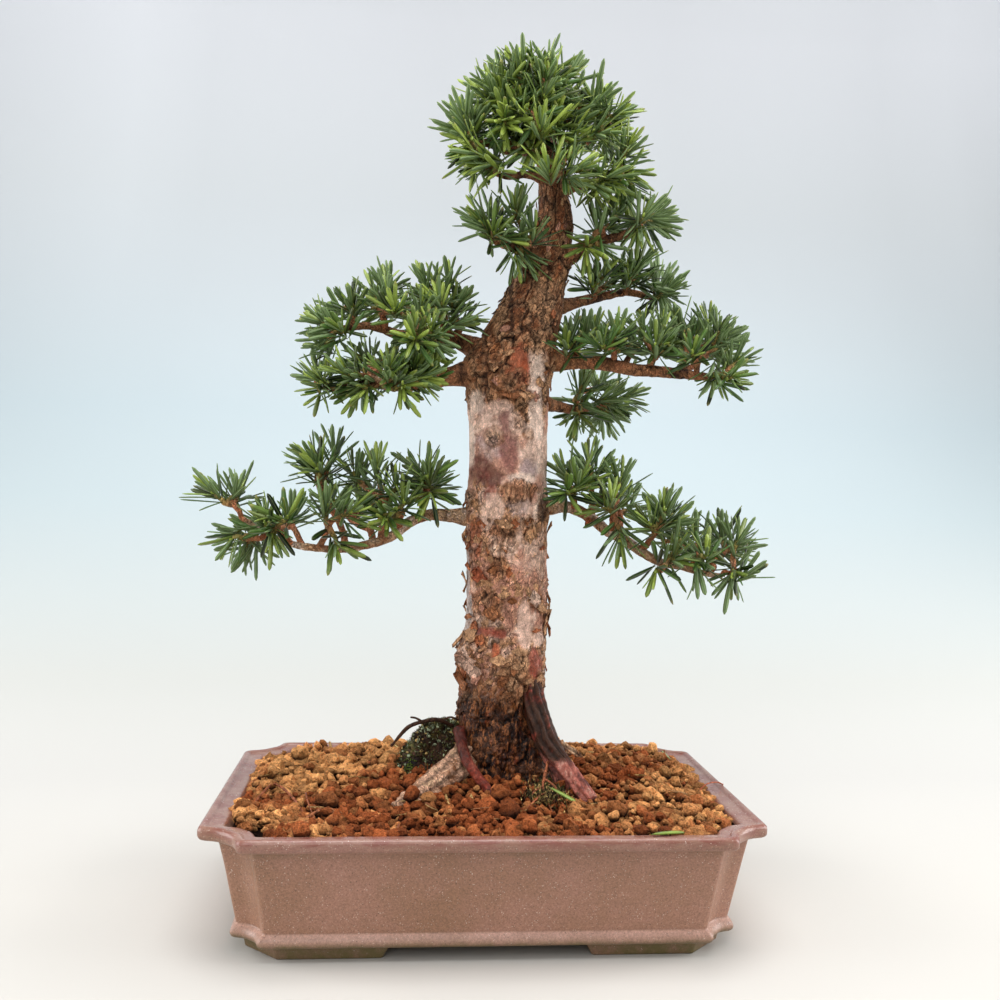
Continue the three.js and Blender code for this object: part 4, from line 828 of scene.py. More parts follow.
def soil_bed(width, depth):
    """The bed between the grains: the pot's inner outline up to the rim, then the same outline drawn in
    to the middle, just under the heap's surface, with 1 mm lumps."""
    inset, height, notch = np.array(SOIL_SECTION).T
    wall = pot_ring(width / 2 - inset, depth / 2 - inset, notch)
    wall = stacked(wall[..., 0], wall[..., 1], height[:, None])
    x, y, _ = np.moveaxis(wall[-1:] * np.linspace(1, 0.02, 60)[:, None, None], -1, 0)
    top = stacked(x, y, soil_height(x, y) - BED_DEPTH + noise(stacked(x, y, 0), 4.5, 5))
    return closed(np.concatenate([wall, top]), [[0, 0, height[0]], [0, 0, soil_height(0, 0) - BED_DEPTH]])


def ball():
    """A ball of 26 points and 24 quads: the cells on the outside of a cube of 3 x 3 x 3 points, each
    point pulled in to a distance of 1."""
    cube = np.stack(np.meshgrid(*[np.arange(3)] * 3, indexing="ij"), -1).reshape(-1, 3)
    outside = np.any(cube != 1, axis=1)
    number = (np.cumsum(outside) - 1).reshape(3, 3, 3)
    sides = []
    for axis in range(3):
        for end in (0, 2):
            side = np.take(number, end, axis=axis)
            quads = np.stack([side[:-1, :-1], side[1:, :-1], side[1:, 1:], side[:-1, 1:]], -1).reshape(-1, 4)
            outwards = (end == 2) == (axis != 1)
            sides.append(quads if outwards else quads[:, ::-1])
    return unit(cube[outside] - 1.0), np.vstack(sides)


def turns(rng, count):
    """Random rotation matrices: from unit quaternions q, whose entries are quadratic in q."""
    w, x, y, z = unit(rng.normal(size=(count, 4))).T
    rows = [1 - 2 * (y * y + z * z), 2 * (x * y - z * w), 2 * (x * z + y * w),
            2 * (x * y + z * w), 1 - 2 * (x * x + z * z), 2 * (y * z - x * w),
            2 * (x * z - y * w), 2 * (y * z + x * w), 1 - 2 * (x * x + y * y)]
    return np.stack(rows, -1).reshape(-1, 3, 3)


def inside_pot(x, y, inset):
    """True within the rim's outline drawn in by that much, with its corners cut off."""
    to_x, to_y = RIM_HALF[0] - inset - np.abs(x), RIM_HALF[1] - inset - np.abs(y)
    return (to_x > 0) & (to_y > 0) & (to_x + to_y > 17)


def root_distance(points):
    """How far each point stands off the surface of the nearest root."""
    away = np.full(len(points), np.inf)
    for _, line in ROOTS:
        path = smooth_path(line, 2)
        gap = np.linalg.norm(points[:, None] - path[None, :, :3], axis=2) - path[None, :, 3]
        away = np.minimum(away, gap.min(axis=1))
    return away


def off_foot(x, y, radius):
    """True where a place is farther than that from the middle of the trunk's foot."""
    return ((x - TRUNK_FOOT[0]) / radius) ** 2 + ((y - TRUNK_FOOT[1]) / radius) ** 2 > 1


def grains(rng, pitch, size, spread, lift, keep=1.0):
    """Clay grains on a jittered grid of hexagons, drawn in to the pot's wall: the unit ball, stretched
    by 0.74 to 1.2 along each axis, cut by nine planes each, as the least h / (way . normal), dented by
    noise, turned at random, and set on the heap's surface."""
    rows = np.arange(-GRAIN_FIELD[1], GRAIN_FIELD[1], pitch * 0.866)
    x, y = np.meshgrid(np.arange(-GRAIN_FIELD[0], GRAIN_FIELD[0], pitch), rows)
    x, y = (x + (np.arange(len(rows)) % 2)[:, None] * pitch / 2).ravel(), y.ravel()
    x, y = (value + rng.uniform(-0.32, 0.32, len(value)) * pitch for value in (x, y))
    x, y = (np.clip(value, -limit, limit) for value, limit in zip((x, y), GRAIN_LIMIT))
    chosen = inside_pot(x, y, 14.2) & off_foot(x, y, FOOT_RADIUS) & (rng.random(len(x)) < keep)
    x, y = x[chosen], y[chosen]
    count = len(x)
    radius = size / 2 * np.exp(rng.normal(0, spread, count))
    z = soil_height(x, y) + lift * radius + rng.uniform(-0.5, 0.5, count) + noise(stacked(x, y, 0), 16, 2)
    clear = root_distance(stacked(x, y, z)) > 0.3 * radius
    x, y, z, radius = x[clear], y[clear], z[clear], radius[clear]
    count = len(x)
    form, faces = ball()
    shape = form[None] * rng.uniform(0.74, 1.2, (count, 1, 3))
    dents = noise(form[None] * 1.1 + rng.uniform(0, 90, (count, 1, 3)), 1.0, 9)
    edges = noise(form[None] * 2.6 + rng.uniform(0, 90, (count, 1, 3)), 1.0, 10)
    planes = unit(rng.normal(size=(count, 9, 3)))
    facing = np.maximum(np.einsum("vj,npj->nvp", form, planes), 1e-3)
    reach = np.min(rng.uniform(0.62, 0.95, (count, 1, 9)) / facing, axis=2)
    shape = shape * (np.minimum(reach, 1.12) * (1.08 + 0.24 * dents + 0.3 * edges))[..., None]
    shape = np.einsum("nij,nvj->nvi", turns(rng, count), shape) * radius[:, None, None]
    damp = np.exp(-(((x - 4) / 92) ** 2 + ((y + 38) / 50) ** 2))
    zones = noise(stacked(x, y, 0), 26, 3) + 0.6 * noise(stacked(x, y, 0), 11, 4)
    tone = ease(-0.15, 1.0, 0.16 + damp + 0.55 * zones + rng.normal(0, 0.26, count))
    # The third value, each point's height on its grain, sets the clay's painted shade below and painted light
    # on top
    rise = 0.5 + 0.5 * shape[..., 2] / radius[:, None]
    values = stacked(tone[:, None], rng.random(count)[:, None], rise)
    return shape + stacked(x, y, z)[:, None], [copies(faces, count, len(form))], values.reshape(-1, 3)


def clay(settings):
    """Porous fired clay: each grain lies between ochre and red brown, with a light or dark shift of its
    own, fine pores, painted shade on its lower side, painted light on its top, and a rough matt surface."""
    mat = Shader("clay_grains")
    tone = mat.split(mat.field("grain"))
    colour = mat.blend(tone["X"], settings.ochre, settings.red_brown)
    shift = mat.ramp(tone["Y"], (0, 0.6), (0.6, 1.06), (1, 1.5))
    colour = mat.shaded(colour, shift)
    dust = mat.mottle(620, 5, 0.8, (0.36, 0.16), (0.46, 0.82), (0.56, 1.06), (0.68, 1.6))
    colour = mat.shaded(colour, dust)
    pores = mat.ramp(mat.cells(1500), (0.1, 0.35), (0.4, 1))
    colour = mat.shaded(colour, pores, 0.7)
    # Painted shade darkens each grain's lower side and painted light brightens its top, by the point's height
    # on the grain
    rise = mat.ramp(tone["Z"], (0.32, 0.08), (0.5, 0.5), (0.66, 1.0), (0.95, 1.25))
    colour = mat.shaded(colour, rise)
    bump = mat.relief(mat.noise(1500, 4, 0.75), 0.0006, 1.0)
    bump = mat.relief(mat.noise(480, 5, 0.72), 0.0018, 1.0, Normal=bump)
    bump = mat.relief(mat.cells(800, place=mat.warped(mat.place, 700, 0.002)), 0.0007, 0.6, Normal=bump)
    return mat.finish(Base_Color=colour, Roughness=0.92, Specular_IOR_Level=0.12, Normal=bump)


class BONSAI_OT_soil(bpy.types.Operator):
    """Build the soil's bed and its loose clay grains"""

    bl_idname = "bonsai.soil"
    bl_label = "Soil"

    def execute(self, context):
        settings, pot = context.scene.bonsai_soil, context.scene.bonsai_pot
        size = settings.grain_size / MM
        material = clay(settings)
        # The third value of 0 puts the bed in the clay's darkest painted shade, so the gaps between the
        # grains look shaded
        bed = Surface(*soil_bed(pot.rim_width / MM, pot.rim_depth / MM), grain=[0.95, 0, 0])
        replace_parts(bed.build("soil_bed", [material], "clay_grains"), "soil")
        rng = np.random.default_rng(11)
        points, faces, values = grains(rng, size * 0.9, size, 0.26, -0.1)
        layer = Surface(points, faces, grain=values)
        loose = Surface()
        for pitch, share, lift in ((0.9, 0.22, 0.9), (0.5, 0.16, 1.5)):
            points, faces, values = grains(rng, size * pitch * 1.1, size * pitch, 0.28, lift, share)
            loose.add(points, faces, grain=values)
        for piece in (layer.build("soil_grains", [material], "clay_grains"),
                      loose.build("soil_loose_grains", [material], "clay_grains")):
            piece.data.shade_flat()
        return {"FINISHED"}


# Wood


def trunk_axis(z):
    """The trunk's middle and radius at those heights."""
    rows = np.array(TRUNK, float)
    return [np.interp(z, rows[:, 2], rows[:, i]) for i in (0, 1, 3)]


def turned_by(angle):
    """An angle brought between minus and plus half a turn."""
    return np.mod(angle + np.pi, TURN) - np.pi


# How flaky the bark is up the trunk, from 0 where it is smooth to 1, as [height, share]
FLAKY = np.array([
    [60, 1], [112, 1], [122, 0.56], [150, 0.5], [168, 0.4], [186, 0.32], [200, 0.52], [214, 0.44],
    [226, 0.12], [262, 0.14], [276, 0.75], [300, 1], [420, 0.95],
])

# The bark's four sizes of plates: how many stand round the trunk, a plate's height, how far wide and fine
# noise push them sideways, then up, and the seed
PLATES = [
    (11, 19, 0.35, 0.2, 0.4, 0.2, 31), (17, 26, 0.4, 0.3, 0.4, 0, 41), (25, 6, 0.6, 0.7, 1, 0.7, 51),
    (52, 2.8, 1, 1.2, 1, 1.2, 61),
]
SMOOTH_PATCHES = ("red", "peel", "orange", "maroon", "purple", "white", "edge_reflection", "lilac", "pale")
FLAKY_PATCHES = ("brown", "tan", "rust")

# The colours of the patches on the trunk's back, and how many there are
BACK_PATCHES = ["red", "white", "white", "purple", "brown", "lilac", "pale", "maroon", "brown"]
BACK_COUNT = 34


def bark_at(points, angle, height, relief):
    """The bark's height and colour on the trunk. The height adds up stepped plates with sunken cracks and
    raised lips, small flakes, soft lumps and the scars' rings, scaled by how flaky the bark is. By the
    same share the colour goes from smooth pale bark to brown flakes. It is lighter in the middle and
    darkened by painted shade in the hollow by the left branches, takes each patch where its stretched
    distance, frayed by noise, is under 1, turns pale at the plates' edges, partly their own pale edges
    and partly a painted highlight on the raised lips, and is darkened by painted shade in the cracks."""
    def rough(size, seed):
        return layered(points, size, seed)

    side, level = points[..., 0], points[..., 2]
    warp, rise, shake, stir = rough(15, 3), rough(15, 7), rough(5, 13), rough(5, 17)
    flaky = np.interp(height + 30 * rough(22, 19) + 6 * shake, *FLAKY.T)
    flaky = np.clip(flaky + 0.42 * rough(20, 21) + 0.12 * rough(6, 25), 0, 1)
    (edge, own), (edge_low, own_low), (edge_small, own_small), (_, own_tiny) = (
        plates(angle / TURN * columns + a * warp + b * shake, height / tall + c * rise + d * stir,
               columns, seed)
        for columns, tall, a, b, c, d, seed in PLATES)
    low = ease(122, 104, height)
    edge, own = edge + (edge_low - edge) * low, own + (own_low - own) * low
    crack, crack_small, lip = bell(edge, 0, 0.07), bell(edge_small, 0, 0.12), bell(edge, 0.17, 0.06)
    lumps = flaky * (0.9 * (own - 0.5) - 0.95 * crack + 0.4 * lip)
    lumps += (0.12 + 0.88 * flaky) * (0.7 * (own_small - 0.5) - 0.4 * crack_small + 0.45 * (own_tiny - 0.5))
    lumps += 0.7 * rough(24, 71) + 0.25 * rough(3.5, 75) * (0.3 + flaky)

    grain = rough(2.6, 81)
    colour = mixed("pink", "pale", ease(-0.3, 0.25, rough(13, 85) + 0.3 * grain))
    colour = mixed(colour, "white", ease(0.15, 0.6, rough(9, 91) + 0.3 * grain))
    colour = mixed(colour, "lilac", 0.7 * ease(0.2, 0.55, rough(16, 93) + 0.2 * grain))
    flake = mixed("brown", "tan", ease(0.3, 1.0, own_small + 0.3 * own_tiny - 0.15))
    middle = ease(118, 134, height) * ease(236, 214, height)
    flake = mixed(flake, "rust", 0.6 * ease(0.4, 1, own + 0.4 * warp) * (1 - 0.75 * middle))
    flake = mixed(flake, "tan", 0.4 * middle)
    share = ease(0.38, 0.62, flaky + 0.4 * (own_small - 0.5) + 0.35 * (own_tiny - 0.5) + 0.2 * grain)
    colour = mixed(colour, flake, share)
    damp = ease(124, 98, height + 12 * warp)
    colour = mixed(colour, COLOURS["dark"] * 0.72, damp * (0.64 + 0.36 * ease(0.8, 0.1, own_small)))
    colour = mixed(colour, COLOURS["maroon"] * 0.8, 0.5 * damp * ease(0.1, 0.5, rough(9, 95)))
    strands = layered(points * [1, 1, 0.4], 2.6, 97)
    colour = mixed(colour, COLOURS["orange"] * 0.6, 0.7 * damp * ease(0.22, 0.55, strands))
    high = ease(296, 320, height)
    colour = mixed(colour, COLOURS["brown"] * 0.6, 0.5 * high * ease(0.2, 0.7, own + 0.3 * shake))
    colour = mixed(colour, "rust", 0.6 * ease(335, 355, height) * ease(0.25, 0.6, rough(8, 99)))
    # Painted shade darkens the hollow between the two left branches
    hollow = np.exp(-(((side + 1) / 9) ** 2) - ((height - 285) / 17) ** 2)
    colour = colour * (1 - 0.42 * hollow[..., None])

    front = np.sin(angle) < 0.25
    fray = 0.45 * rough(8, 27) + 0.35 * rough(2.6, 29) + 0.2 * (own_tiny - 0.5)
    blot = 1 + 0.5 * rough(4, 83)[..., None]
    for x, z, half_width, half_height, name in PATCHES:
        weight = ease(1.25, 0.75, np.hypot((side - x) / half_width, (level - z) / half_height) + fray) * front
        colour = mixed(colour, COLOURS[name] * blot, 0.85 * weight)
        if name in SMOOTH_PATCHES:
            lumps = lumps * (1 - 0.6 * weight) - 0.3 * weight
            flaky = flaky * (1 - 0.75 * weight)
        elif name in FLAKY_PATCHES:
            flaky = np.maximum(flaky, 0.9 * weight)
    rng = np.random.default_rng(5)
    for _ in range(BACK_COUNT):
        turn, z = rng.uniform(0.1, np.pi - 0.1), rng.uniform(122, 285)
        name, size = rng.choice(BACK_PATCHES), rng.uniform(4, 9)
        distance = np.hypot(turned_by(angle - turn) * 22 / size, (height - z) / (size * rng.uniform(0.9, 2)))
        colour = mixed(colour, COLOURS[name] * blot, 0.85 * ease(1.25, 0.75, distance + fray))
    for x, z, radius in KNOTS:
        distance = np.hypot(side - x, (level - z) * 0.85) / radius + 0.5 * shake + 0.3 * rough(2.4, 73)
        ring, second, heart = (bell(distance, *at) * front for at in ((1, 0.24), (0.5, 0.16), (0, 0.3)))
        lumps += 0.7 * ring + 0.35 * second - 0.5 * heart
        flaky = np.maximum(flaky, 0.7 * np.exp(-((distance / 1.1) ** 4)) * front)
        colour = mixed(colour, "tan", 0.4 * second + 0.3 * ring)
        colour = mixed(colour, COLOURS["brown"] * 0.6, 0.7 * bell(distance, 1.35, 0.16) * front)
        colour = mixed(colour, "dark", 0.6 * heart)

    # The plates' edges turn pale: partly the bark's own pale edges, partly a painted highlight on the raised
    # lips
    paper = bell(edge_small, 0.24, 0.08) * (0.3 + 0.7 * own_tiny)
    paper = np.clip((lip + 0.7 * paper) * (0.25 + 0.75 * flaky) * (1 - damp), 0, 1)
    colour = mixed(colour, COLOURS["straw"] * 0.5 + COLOURS["pale"] * 0.5, 0.42 * paper)
    # Painted shade darkens the cracks between the plates, most where the bark is flaky
    crease_shade = np.clip(flaky * crack + 0.66 * crack_small * (0.1 + 0.9 * flaky), 0, 1)
    colour = colour * (1 - 0.84 * crease_shade[..., None]) * (1 + 0.34 * grain[..., None])
    clean = mixed(np.array([1.06, 0.93, 0.86]), np.array([0.94, 0.78, 0.68]), ease(0.05, 0.45, flaky))
    colour = colour * (clean + (np.array([0.8, 0.62, 0.5]) - clean) * damp[..., None])
    colour = colour * (1 + 0.12 * middle[..., None] - 0.1 * ease(258, 275, height)[..., None])
    skin = stacked(np.clip(flaky, 0, 1), damp, high)
    return lumps * relief * (1 - 0.4 * high), np.clip(colour, 0.004, 1), skin


# Branches that swell the trunk where they leave it
SWELLING = ("lower_left", "lower_right", "left_low", "left_high", "middle_right", "behind_trunk",
            "upper_right", "high_right", "high_left")


def trunk_surface(relief, sides=200):
    """Level rings round the trunk's line: r(angle, z) = radius + buttresses + swellings + bark. A
    buttress stands out towards each root by 4.5 exp(-(turn/0.3)^2) exp(-((z - 70)/16)^2), and a swelling
    round each branch by 0.4 of its thickness r times exp(-(distance/1.5 r)^2)."""
    path = smooth_path(TRUNK, 0.95)
    angle = np.linspace(0, TURN, sides, endpoint=False)[None]
    height, radius = path[:, 2:3], path[:, 3:4]
    for _, root in ROOTS:
        turn = turned_by(angle - np.arctan2(root[2][1] - TRUNK_FOOT[1], root[2][0] - TRUNK_FOOT[0]))
        radius = radius + 4.5 * np.exp(-((turn / 0.3) ** 2) - ((height - 70) / 16) ** 2)
    for name in SWELLING:
        (x, y, z, thick), ahead = BRANCHES[name][name == "lower_left":][:2]
        turn = turned_by(angle - np.arctan2(ahead[1] - y, ahead[0] - x))
        radius = radius + 0.4 * thick * bell(np.hypot(turn * radius, height - z), 0, thick * 1.5)
    around = stacked(np.cos(angle), np.sin(angle), 0)
    points = path[:, None, :3] + radius[..., None] * around
    lumps, colour, skin = bark_at(points, angle + 0 * height, height + 0 * angle, relief)
    points = points + (lumps * np.clip(radius / 16, 0.3, 1))[..., None] * around
    colour, skin = (np.vstack([v.reshape(-1, 3), v[0, :1], v[-1, :1]]) for v in (colour, skin))
    return *closed(points, path[[0, -1], :3]), colour, skin


def wood_colour(points, base, dark, light, size=5):
    """Mottled bark: base, darker where slow noise is low and lighter where it is high."""
    slow, fine = layered(points, size, 101), layered(points, size / 4, 105)
    colour = mixed(COLOURS[base], COLOURS[dark], ease(0.05, -0.45, slow + 0.5 * fine))
    colour = mixed(colour, COLOURS[light], 0.8 * ease(0.1, 0.5, slow + 0.5 * fine))
    return np.clip(colour * (1 + 0.25 * fine[..., None]), 0.004, 1)


def limb(points, sides, step, base, dark, light, scale, swell=1.0, ridges=0.0):
    """A branch, twig or root: a tube whose radius is swollen by exp(-((s - s0)/r)^2) where it leaves
    the trunk, at s0, with scaly noise on it and, on a root, ridges as sin of eight times the turn, whose
    grooves are darkened by painted shade."""
    path = smooth_path(points, step)
    run = np.append(0, np.cumsum(np.linalg.norm(np.diff(path[:, :3], axis=0), axis=1)))
    x, y, radius = trunk_axis(path[:, 2])
    leaves = run[np.argmax(np.hypot(path[:, 0] - x, path[:, 1] - y) > radius)]
    path[:, 3] *= 1 + 0.3 * swell * bell(run, leaves, path[0, 3] * 1.2)

    def ribs(rings, angle):
        return np.sin(8 * angle[None] + 2.2 * noise(rings, 14, 111) + noise(rings, 5, 112))

    def relief(rings, angle):
        return ridges * ribs(rings, angle) + scale * (layered(rings, 3.2, 113) + 0.7 * noise(rings, 1.6, 117))

    places, faces = tube(path, sides, relief)
    colour = wood_colour(places, base, dark, light)
    if ridges:
        rings, angle = places[:-2].reshape(len(path), sides, 3), np.linspace(0, TURN, sides, endpoint=False)
        # Painted shade darkens the grooves between the ridges
        crease_shade = np.append(ease(0.1, -0.9, ribs(rings, angle)).ravel(), [0, 0])[:, None]
        colour = colour * (1 - 0.62 * crease_shade)
    return places, faces, colour


def branch_point(name, place):
    """The point that many steps along a branch's points, with its radius."""
    rows = np.array(BRANCHES[name], float)
    steps = np.arange(len(rows))
    return np.array([np.interp(place, steps, rows[:, i]) for i in range(4)])


def twig_points(start, end, first, last, seed, bow=1.4):
    """A twig between two points that bows out by noise at its thirds."""
    start, end = np.array(start[:3], float), np.array(end[:3], float)
    share = np.array([0, 0.33, 0.67, 1])[:, None]
    rng = np.random.default_rng(seed)
    line = start + (end - start) * share
    line[1:3] += rng.normal(0, 1, (2, 3)) * min(bow, 0.12 * np.linalg.norm(end - start))
    return np.hstack([line, first + (last - first) * share])


def scales(mat, size, push):
    """Cracked plates of bark: warped cells of that size in metres, each with a tone of its own, dark with
    painted shade where two meet and lighter with a painted highlight just inside each edge. Returns the
    tone and the height."""
    place = mat.warped(mat.stretched(1, 1, 0.6), 0.8 / size, push * size)
    edge = mat.cells(1 / size, "Distance", "DISTANCE_TO_EDGE", place)
    own = mat.split(mat.cells(1 / size, "Color", "F1", place))["X"]
    # Painted shade where two plates meet, then a painted highlight along each plate's rim
    rim = mat.ramp(edge, (0, 0.16), (0.035, 0.65), (0.09, 1.2), (0.3, 1.0))
    tone = mat.shaded(mat.ramp(own, (0, 0.72), (1, 1.28)), rim)
    height = mat.maths("ADD", mat.ramp(edge, (0, 0), (0.12, 0.75), (0.4, 0.6)),
                       mat.times(own, 0.5))
    return tone, height


def papers(mat, size, count):
    """Papery layers that peel: noise with features of that size in metres, times the count, cut into
    steps by its fractional part. Each rises to a raised edge lightened by a painted highlight and drops
    to a dark one of painted shadow."""
    place = mat.warped(mat.stretched(1, 1, 0.75), 1.3 / size, 0.8 * size)
    steps = mat.maths("FRACT", mat.times(mat.noise(0.5 / size, 2.5, 0.5, place), count))
    # Painted highlight on each layer's raised edge, painted shadow where it drops
    tone = mat.ramp(steps, (0, 0.12), (0.07, 0.6), (0.45, 1.0), (0.86, 1.24), (0.965, 1.95), (1, 0.12))
    return tone, mat.ramp(steps, (0, 0), (0.96, 1), (1, 0))


def bark_material(name, scale=0.0019, skin=False, wet=False):
    """Bark: the painted colour, varied by peeling layers of two sizes, cracked plates and fine noise. It
    is smooth where the skin's first value is 0, scaly where it is 1, and wet where its second is 1. A wet
    root is glossy all over."""
    mat = Shader(name)
    cracked, cracked_height = scales(mat, scale * 2.6, 1.6)
    layers, layers_height = papers(mat, scale * 3, 9)
    curls, curls_height = papers(mat, scale * 1.1, 6)
    fine = mat.mottle(1100, 5, 0.8, (0.34, 0.5), (0.66, 1.42))
    colour = mat.shaded(mat.field("bark"), fine, 0.7)
    scaly = mat.shaded(colour, mat.mottle(420, 4, 0.75, (0.32, 0.4), (0.44, 1.0), (0.7, 1.2)))
    scaly = mat.shaded(mat.shaded(scaly, layers, 0.95), curls, 0.8)
    colour = mat.shaded(colour, mat.mottle(170, 5, 0.75, (0.36, 0.74), (0.5, 1.0), (0.66, 1.22)))
    scaly = mat.blend(mat.mottle(60, 2, 0.55, (0.42, 0.15), (0.6, 1)), scaly,
                      mat.shaded(scaly, cracked))
    low, high = (0.26, 0.55) if wet else (0.58, 0.85)
    rough = mat.mottle(240, 3, 0.55, (0.35, low), (0.65, high))
    if skin:
        value = mat.split(mat.field("skin"))
        colour = mat.blend(mat.ramp(value["X"], (0.06, 0.32), (0.5, 1)), colour, scaly)
        depth = mat.ramp(value["X"], (0.06, 0.25), (0.5, 1))
        fibres = mat.ramp(mat.noise(620, 4, 0.7, mat.stretched(1, 1, 0.3)), (0.52, 0), (0.64, 1))
        colour = mat.blend(mat.times(fibres, value["Y"], 0.85), colour,
                           linear(168, 104, 60))
        rough = mat.blend(mat.times(value["Y"], 0.7), rough, (0.3, 0.3, 0.3))
    else:
        colour = mat.blend(0.4 if wet else 0.8, colour, scaly)
        depth = 0.25 if wet else 0.7
    bump = mat.relief(mat.noise(1400, 4, 0.75), 0.00025, 0.7)
    for height, distance, strength in ((curls_height, 0.0004, 0.9), (layers_height, 0.0009, 0.9),
                                       (cracked_height, 0.0006, 0.7)):
        bump = mat.relief(mat.times(height, depth), distance, strength, Normal=bump)
    gloss = 0.17 if wet else 0.2
    return mat.finish(Base_Color=colour, Roughness=rough, Specular_IOR_Level=gloss, Normal=bump)


class BONSAI_OT_trunk(bpy.types.Operator):
    """Build the old trunk with its plates of bark"""

    bl_idname = "bonsai.trunk"
    bl_label = "Trunk"

    def execute(self, context):
        relief = context.scene.bonsai_yew.bark_relief / MM
        points, faces, colour, skin = trunk_surface(relief)
        trunk = Surface(points, faces, bark=colour, skin=skin)
        piece = trunk.build("trunk", [bark_material("trunk_bark", skin=True)], "bark")
        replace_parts(piece, "trunk_and_branches")
        return {"FINISHED"}


# Roots by their bark: the darker and the lighter colour, and the grooves' and the bark's share of the
# thickness
ROOT_BARK = {
    "root": ("brown", "tan", 0.03, 0.16), "red": ("maroon", "flesh", 0, 0.12),
    "ridged": ("dark", "red", 0.16, 0.06), "flesh": ("dark", "tan", 0.06, 0.06),
    "brown": ("dark", "tan", 0.06, 0.06),
}


class BONSAI_OT_branches(bpy.types.Operator):
    """Build the roots, the branches, the cut stubs and the brown twigs"""

    bl_idname = "bonsai.branches"
    bl_label = "Branches and roots"

    def execute(self, context):
        wood = Surface()

        def put(places, faces, colour, slot=0):
            wood.add(places, faces, slot, bark=colour)

        for name, points in BRANCHES.items():
            if name != "leader":
                low = name.startswith("lower")
                shades = ("tan", "brown", "pale") if low else ("brown", "dark", "twig")
                put(*limb(points, 22, 0.9, *shades, 0.3))
        for name, points in ROOTS:
            dark, light, *relief = ROOT_BARK[name]
            grooves, rough = np.array(relief) * points[0][3]
            places, faces, colour = limb(points, 44, 0.8, name, dark, light, rough, 0.3, grooves)
            if name == "ridged":
                bare = ease(82, 78, places[:, 2] + 2 * noise(places, 6, 119))
                colour = mixed(colour, wood_colour(places, "flesh", "maroon", "pink", 5), bare)
            if name == "red":
                colour = colour * [1, 0.86, 0.72] * (0.78 - 0.45 * ease(76, 84, places[:, 2]))[:, None]
            put(places, faces, colour, int(name in ("red", "ridged")))
        for points in STUBS:
            put(*limb(points, 12, 0.8, "orange", "brown", "twig", 0.1, 0))
        for pad, sprays in PADS.items():
            for seed, (_, *branch, place, fork, _) in enumerate(sprays):
                start = branch_point(*branch or [pad], place)
                points = twig_points(start, fork, min(2.0, start[3]), 1.5, seed + int(1000 * place))
                put(*limb(points, 12, 0.9, "twig", "brown", "rust", 0.2, 0))
        dry, wet = bark_material("branch_bark", 0.0013), bark_material("wet_root", 0.0016, wet=True)
        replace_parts(wood.build("branches_and_roots", [dry, wet], "bark"), "trunk_and_branches")
        return {"FINISHED"}


def flake(turn, height, width, length, lift, free, rows=12, columns=9):
    """A loose flake: v runs from the held end to the free one and u across. It lies off the trunk by 0.2
    + lift v^1.8, curls at its sides, is as wide as sin(0.25 + 2.4 v), frays at its edge, and has a back
    face 0.3 mm behind its front."""
    v, u = np.meshgrid(np.linspace(0, 1, rows), np.linspace(-1, 1, columns), indexing="ij")
    fray = noise(stacked(np.sign(u) * 3 + turn, v * 2.4 + height, 0), 0.5, 7)
    ragged = noise(stacked(u * 2.2 + turn, height, 0), 0.6, 9)
    z = height + free * length * (v - 0.5 - 0.3 * u**2 * (v - 0.35) + 0.22 * ragged * v)
    x, y, radius = trunk_axis(z)
    half = width / 2 * np.sin(0.25 + 2.4 * v) * (1 + 0.4 * fray)
    angle = np.radians(turn) + (u * half + 0.15 * width * ragged * v) / radius
    out = radius + 0.2 + lift * v**1.8 + 0.14 * width * u**2 * v + 0.4 * ragged * v
    front, back = (stacked(x + far * np.cos(angle), y + far * np.sin(angle), z) for far in (out, out - 0.3))
    ring = np.concatenate([front, back[:, ::-1]], axis=1)
    if free < 0:
        ring = ring[:, ::-1]
    return closed(ring, ring[[0, -1]].mean(axis=1))


# How many small flakes are added to the listed ones
FLAKE_COUNT = 230


class BONSAI_OT_flakes(bpy.types.Operator):
    """Build the loose flakes that peel off the trunk"""

    bl_idname = "bonsai.flakes"
    bl_label = "Bark flakes"

    def execute(self, context):
        rng = np.random.default_rng(8)
        listed = list(FLAKES)
        for _ in range(FLAKE_COUNT):
            height = rng.choice([rng.uniform(96, 215), rng.uniform(266, 385)])
            thin = trunk_axis(height)[2] / 22
            name = rng.choice(["brown", "tan", "twig", "tan", "pink"] if height > 118 else ["dark", "brown"])
            listed.append((rng.uniform(0, 360), height, rng.uniform(2.5, 6.5) * thin, rng.uniform(2.5, 7),
                           rng.uniform(0.4, 1.4), rng.choice([-1, 1]), name))
        flakes = Surface()
        for turn, height, width, length, lift, free, name in listed:
            fine = (12, 9) if length > 8 else (6, 5)
            points, faces = flake(turn, height, width, length, lift, free, *fine)
            shade = 1 + 0.3 * layered(points, 2.5, int(height))[:, None]
            flakes.add(points, faces, bark=COLOURS[name] * shade * [0.94, 0.8, 0.7])
        flakes.build("bark_flakes", [bark_material("flake_bark")], "bark")
        return {"FINISHED"}


# Needles

BLADE_RUN = np.array([0, 0.06, 0.15, 0.42, 0.74, 0.92, 1.0])
BLADE_HALF = np.array([0.24, 0.27, 0.7, 0.93, 1.0, 0.8, 0.2])
BLADE_SIDE = np.array([-1, 0, 1, 0])
BLADE_RISE = np.array([0, 0.45, 0, -0.5])
BLADE_UNDER = np.array([0.5, 0, 0.5, 1])


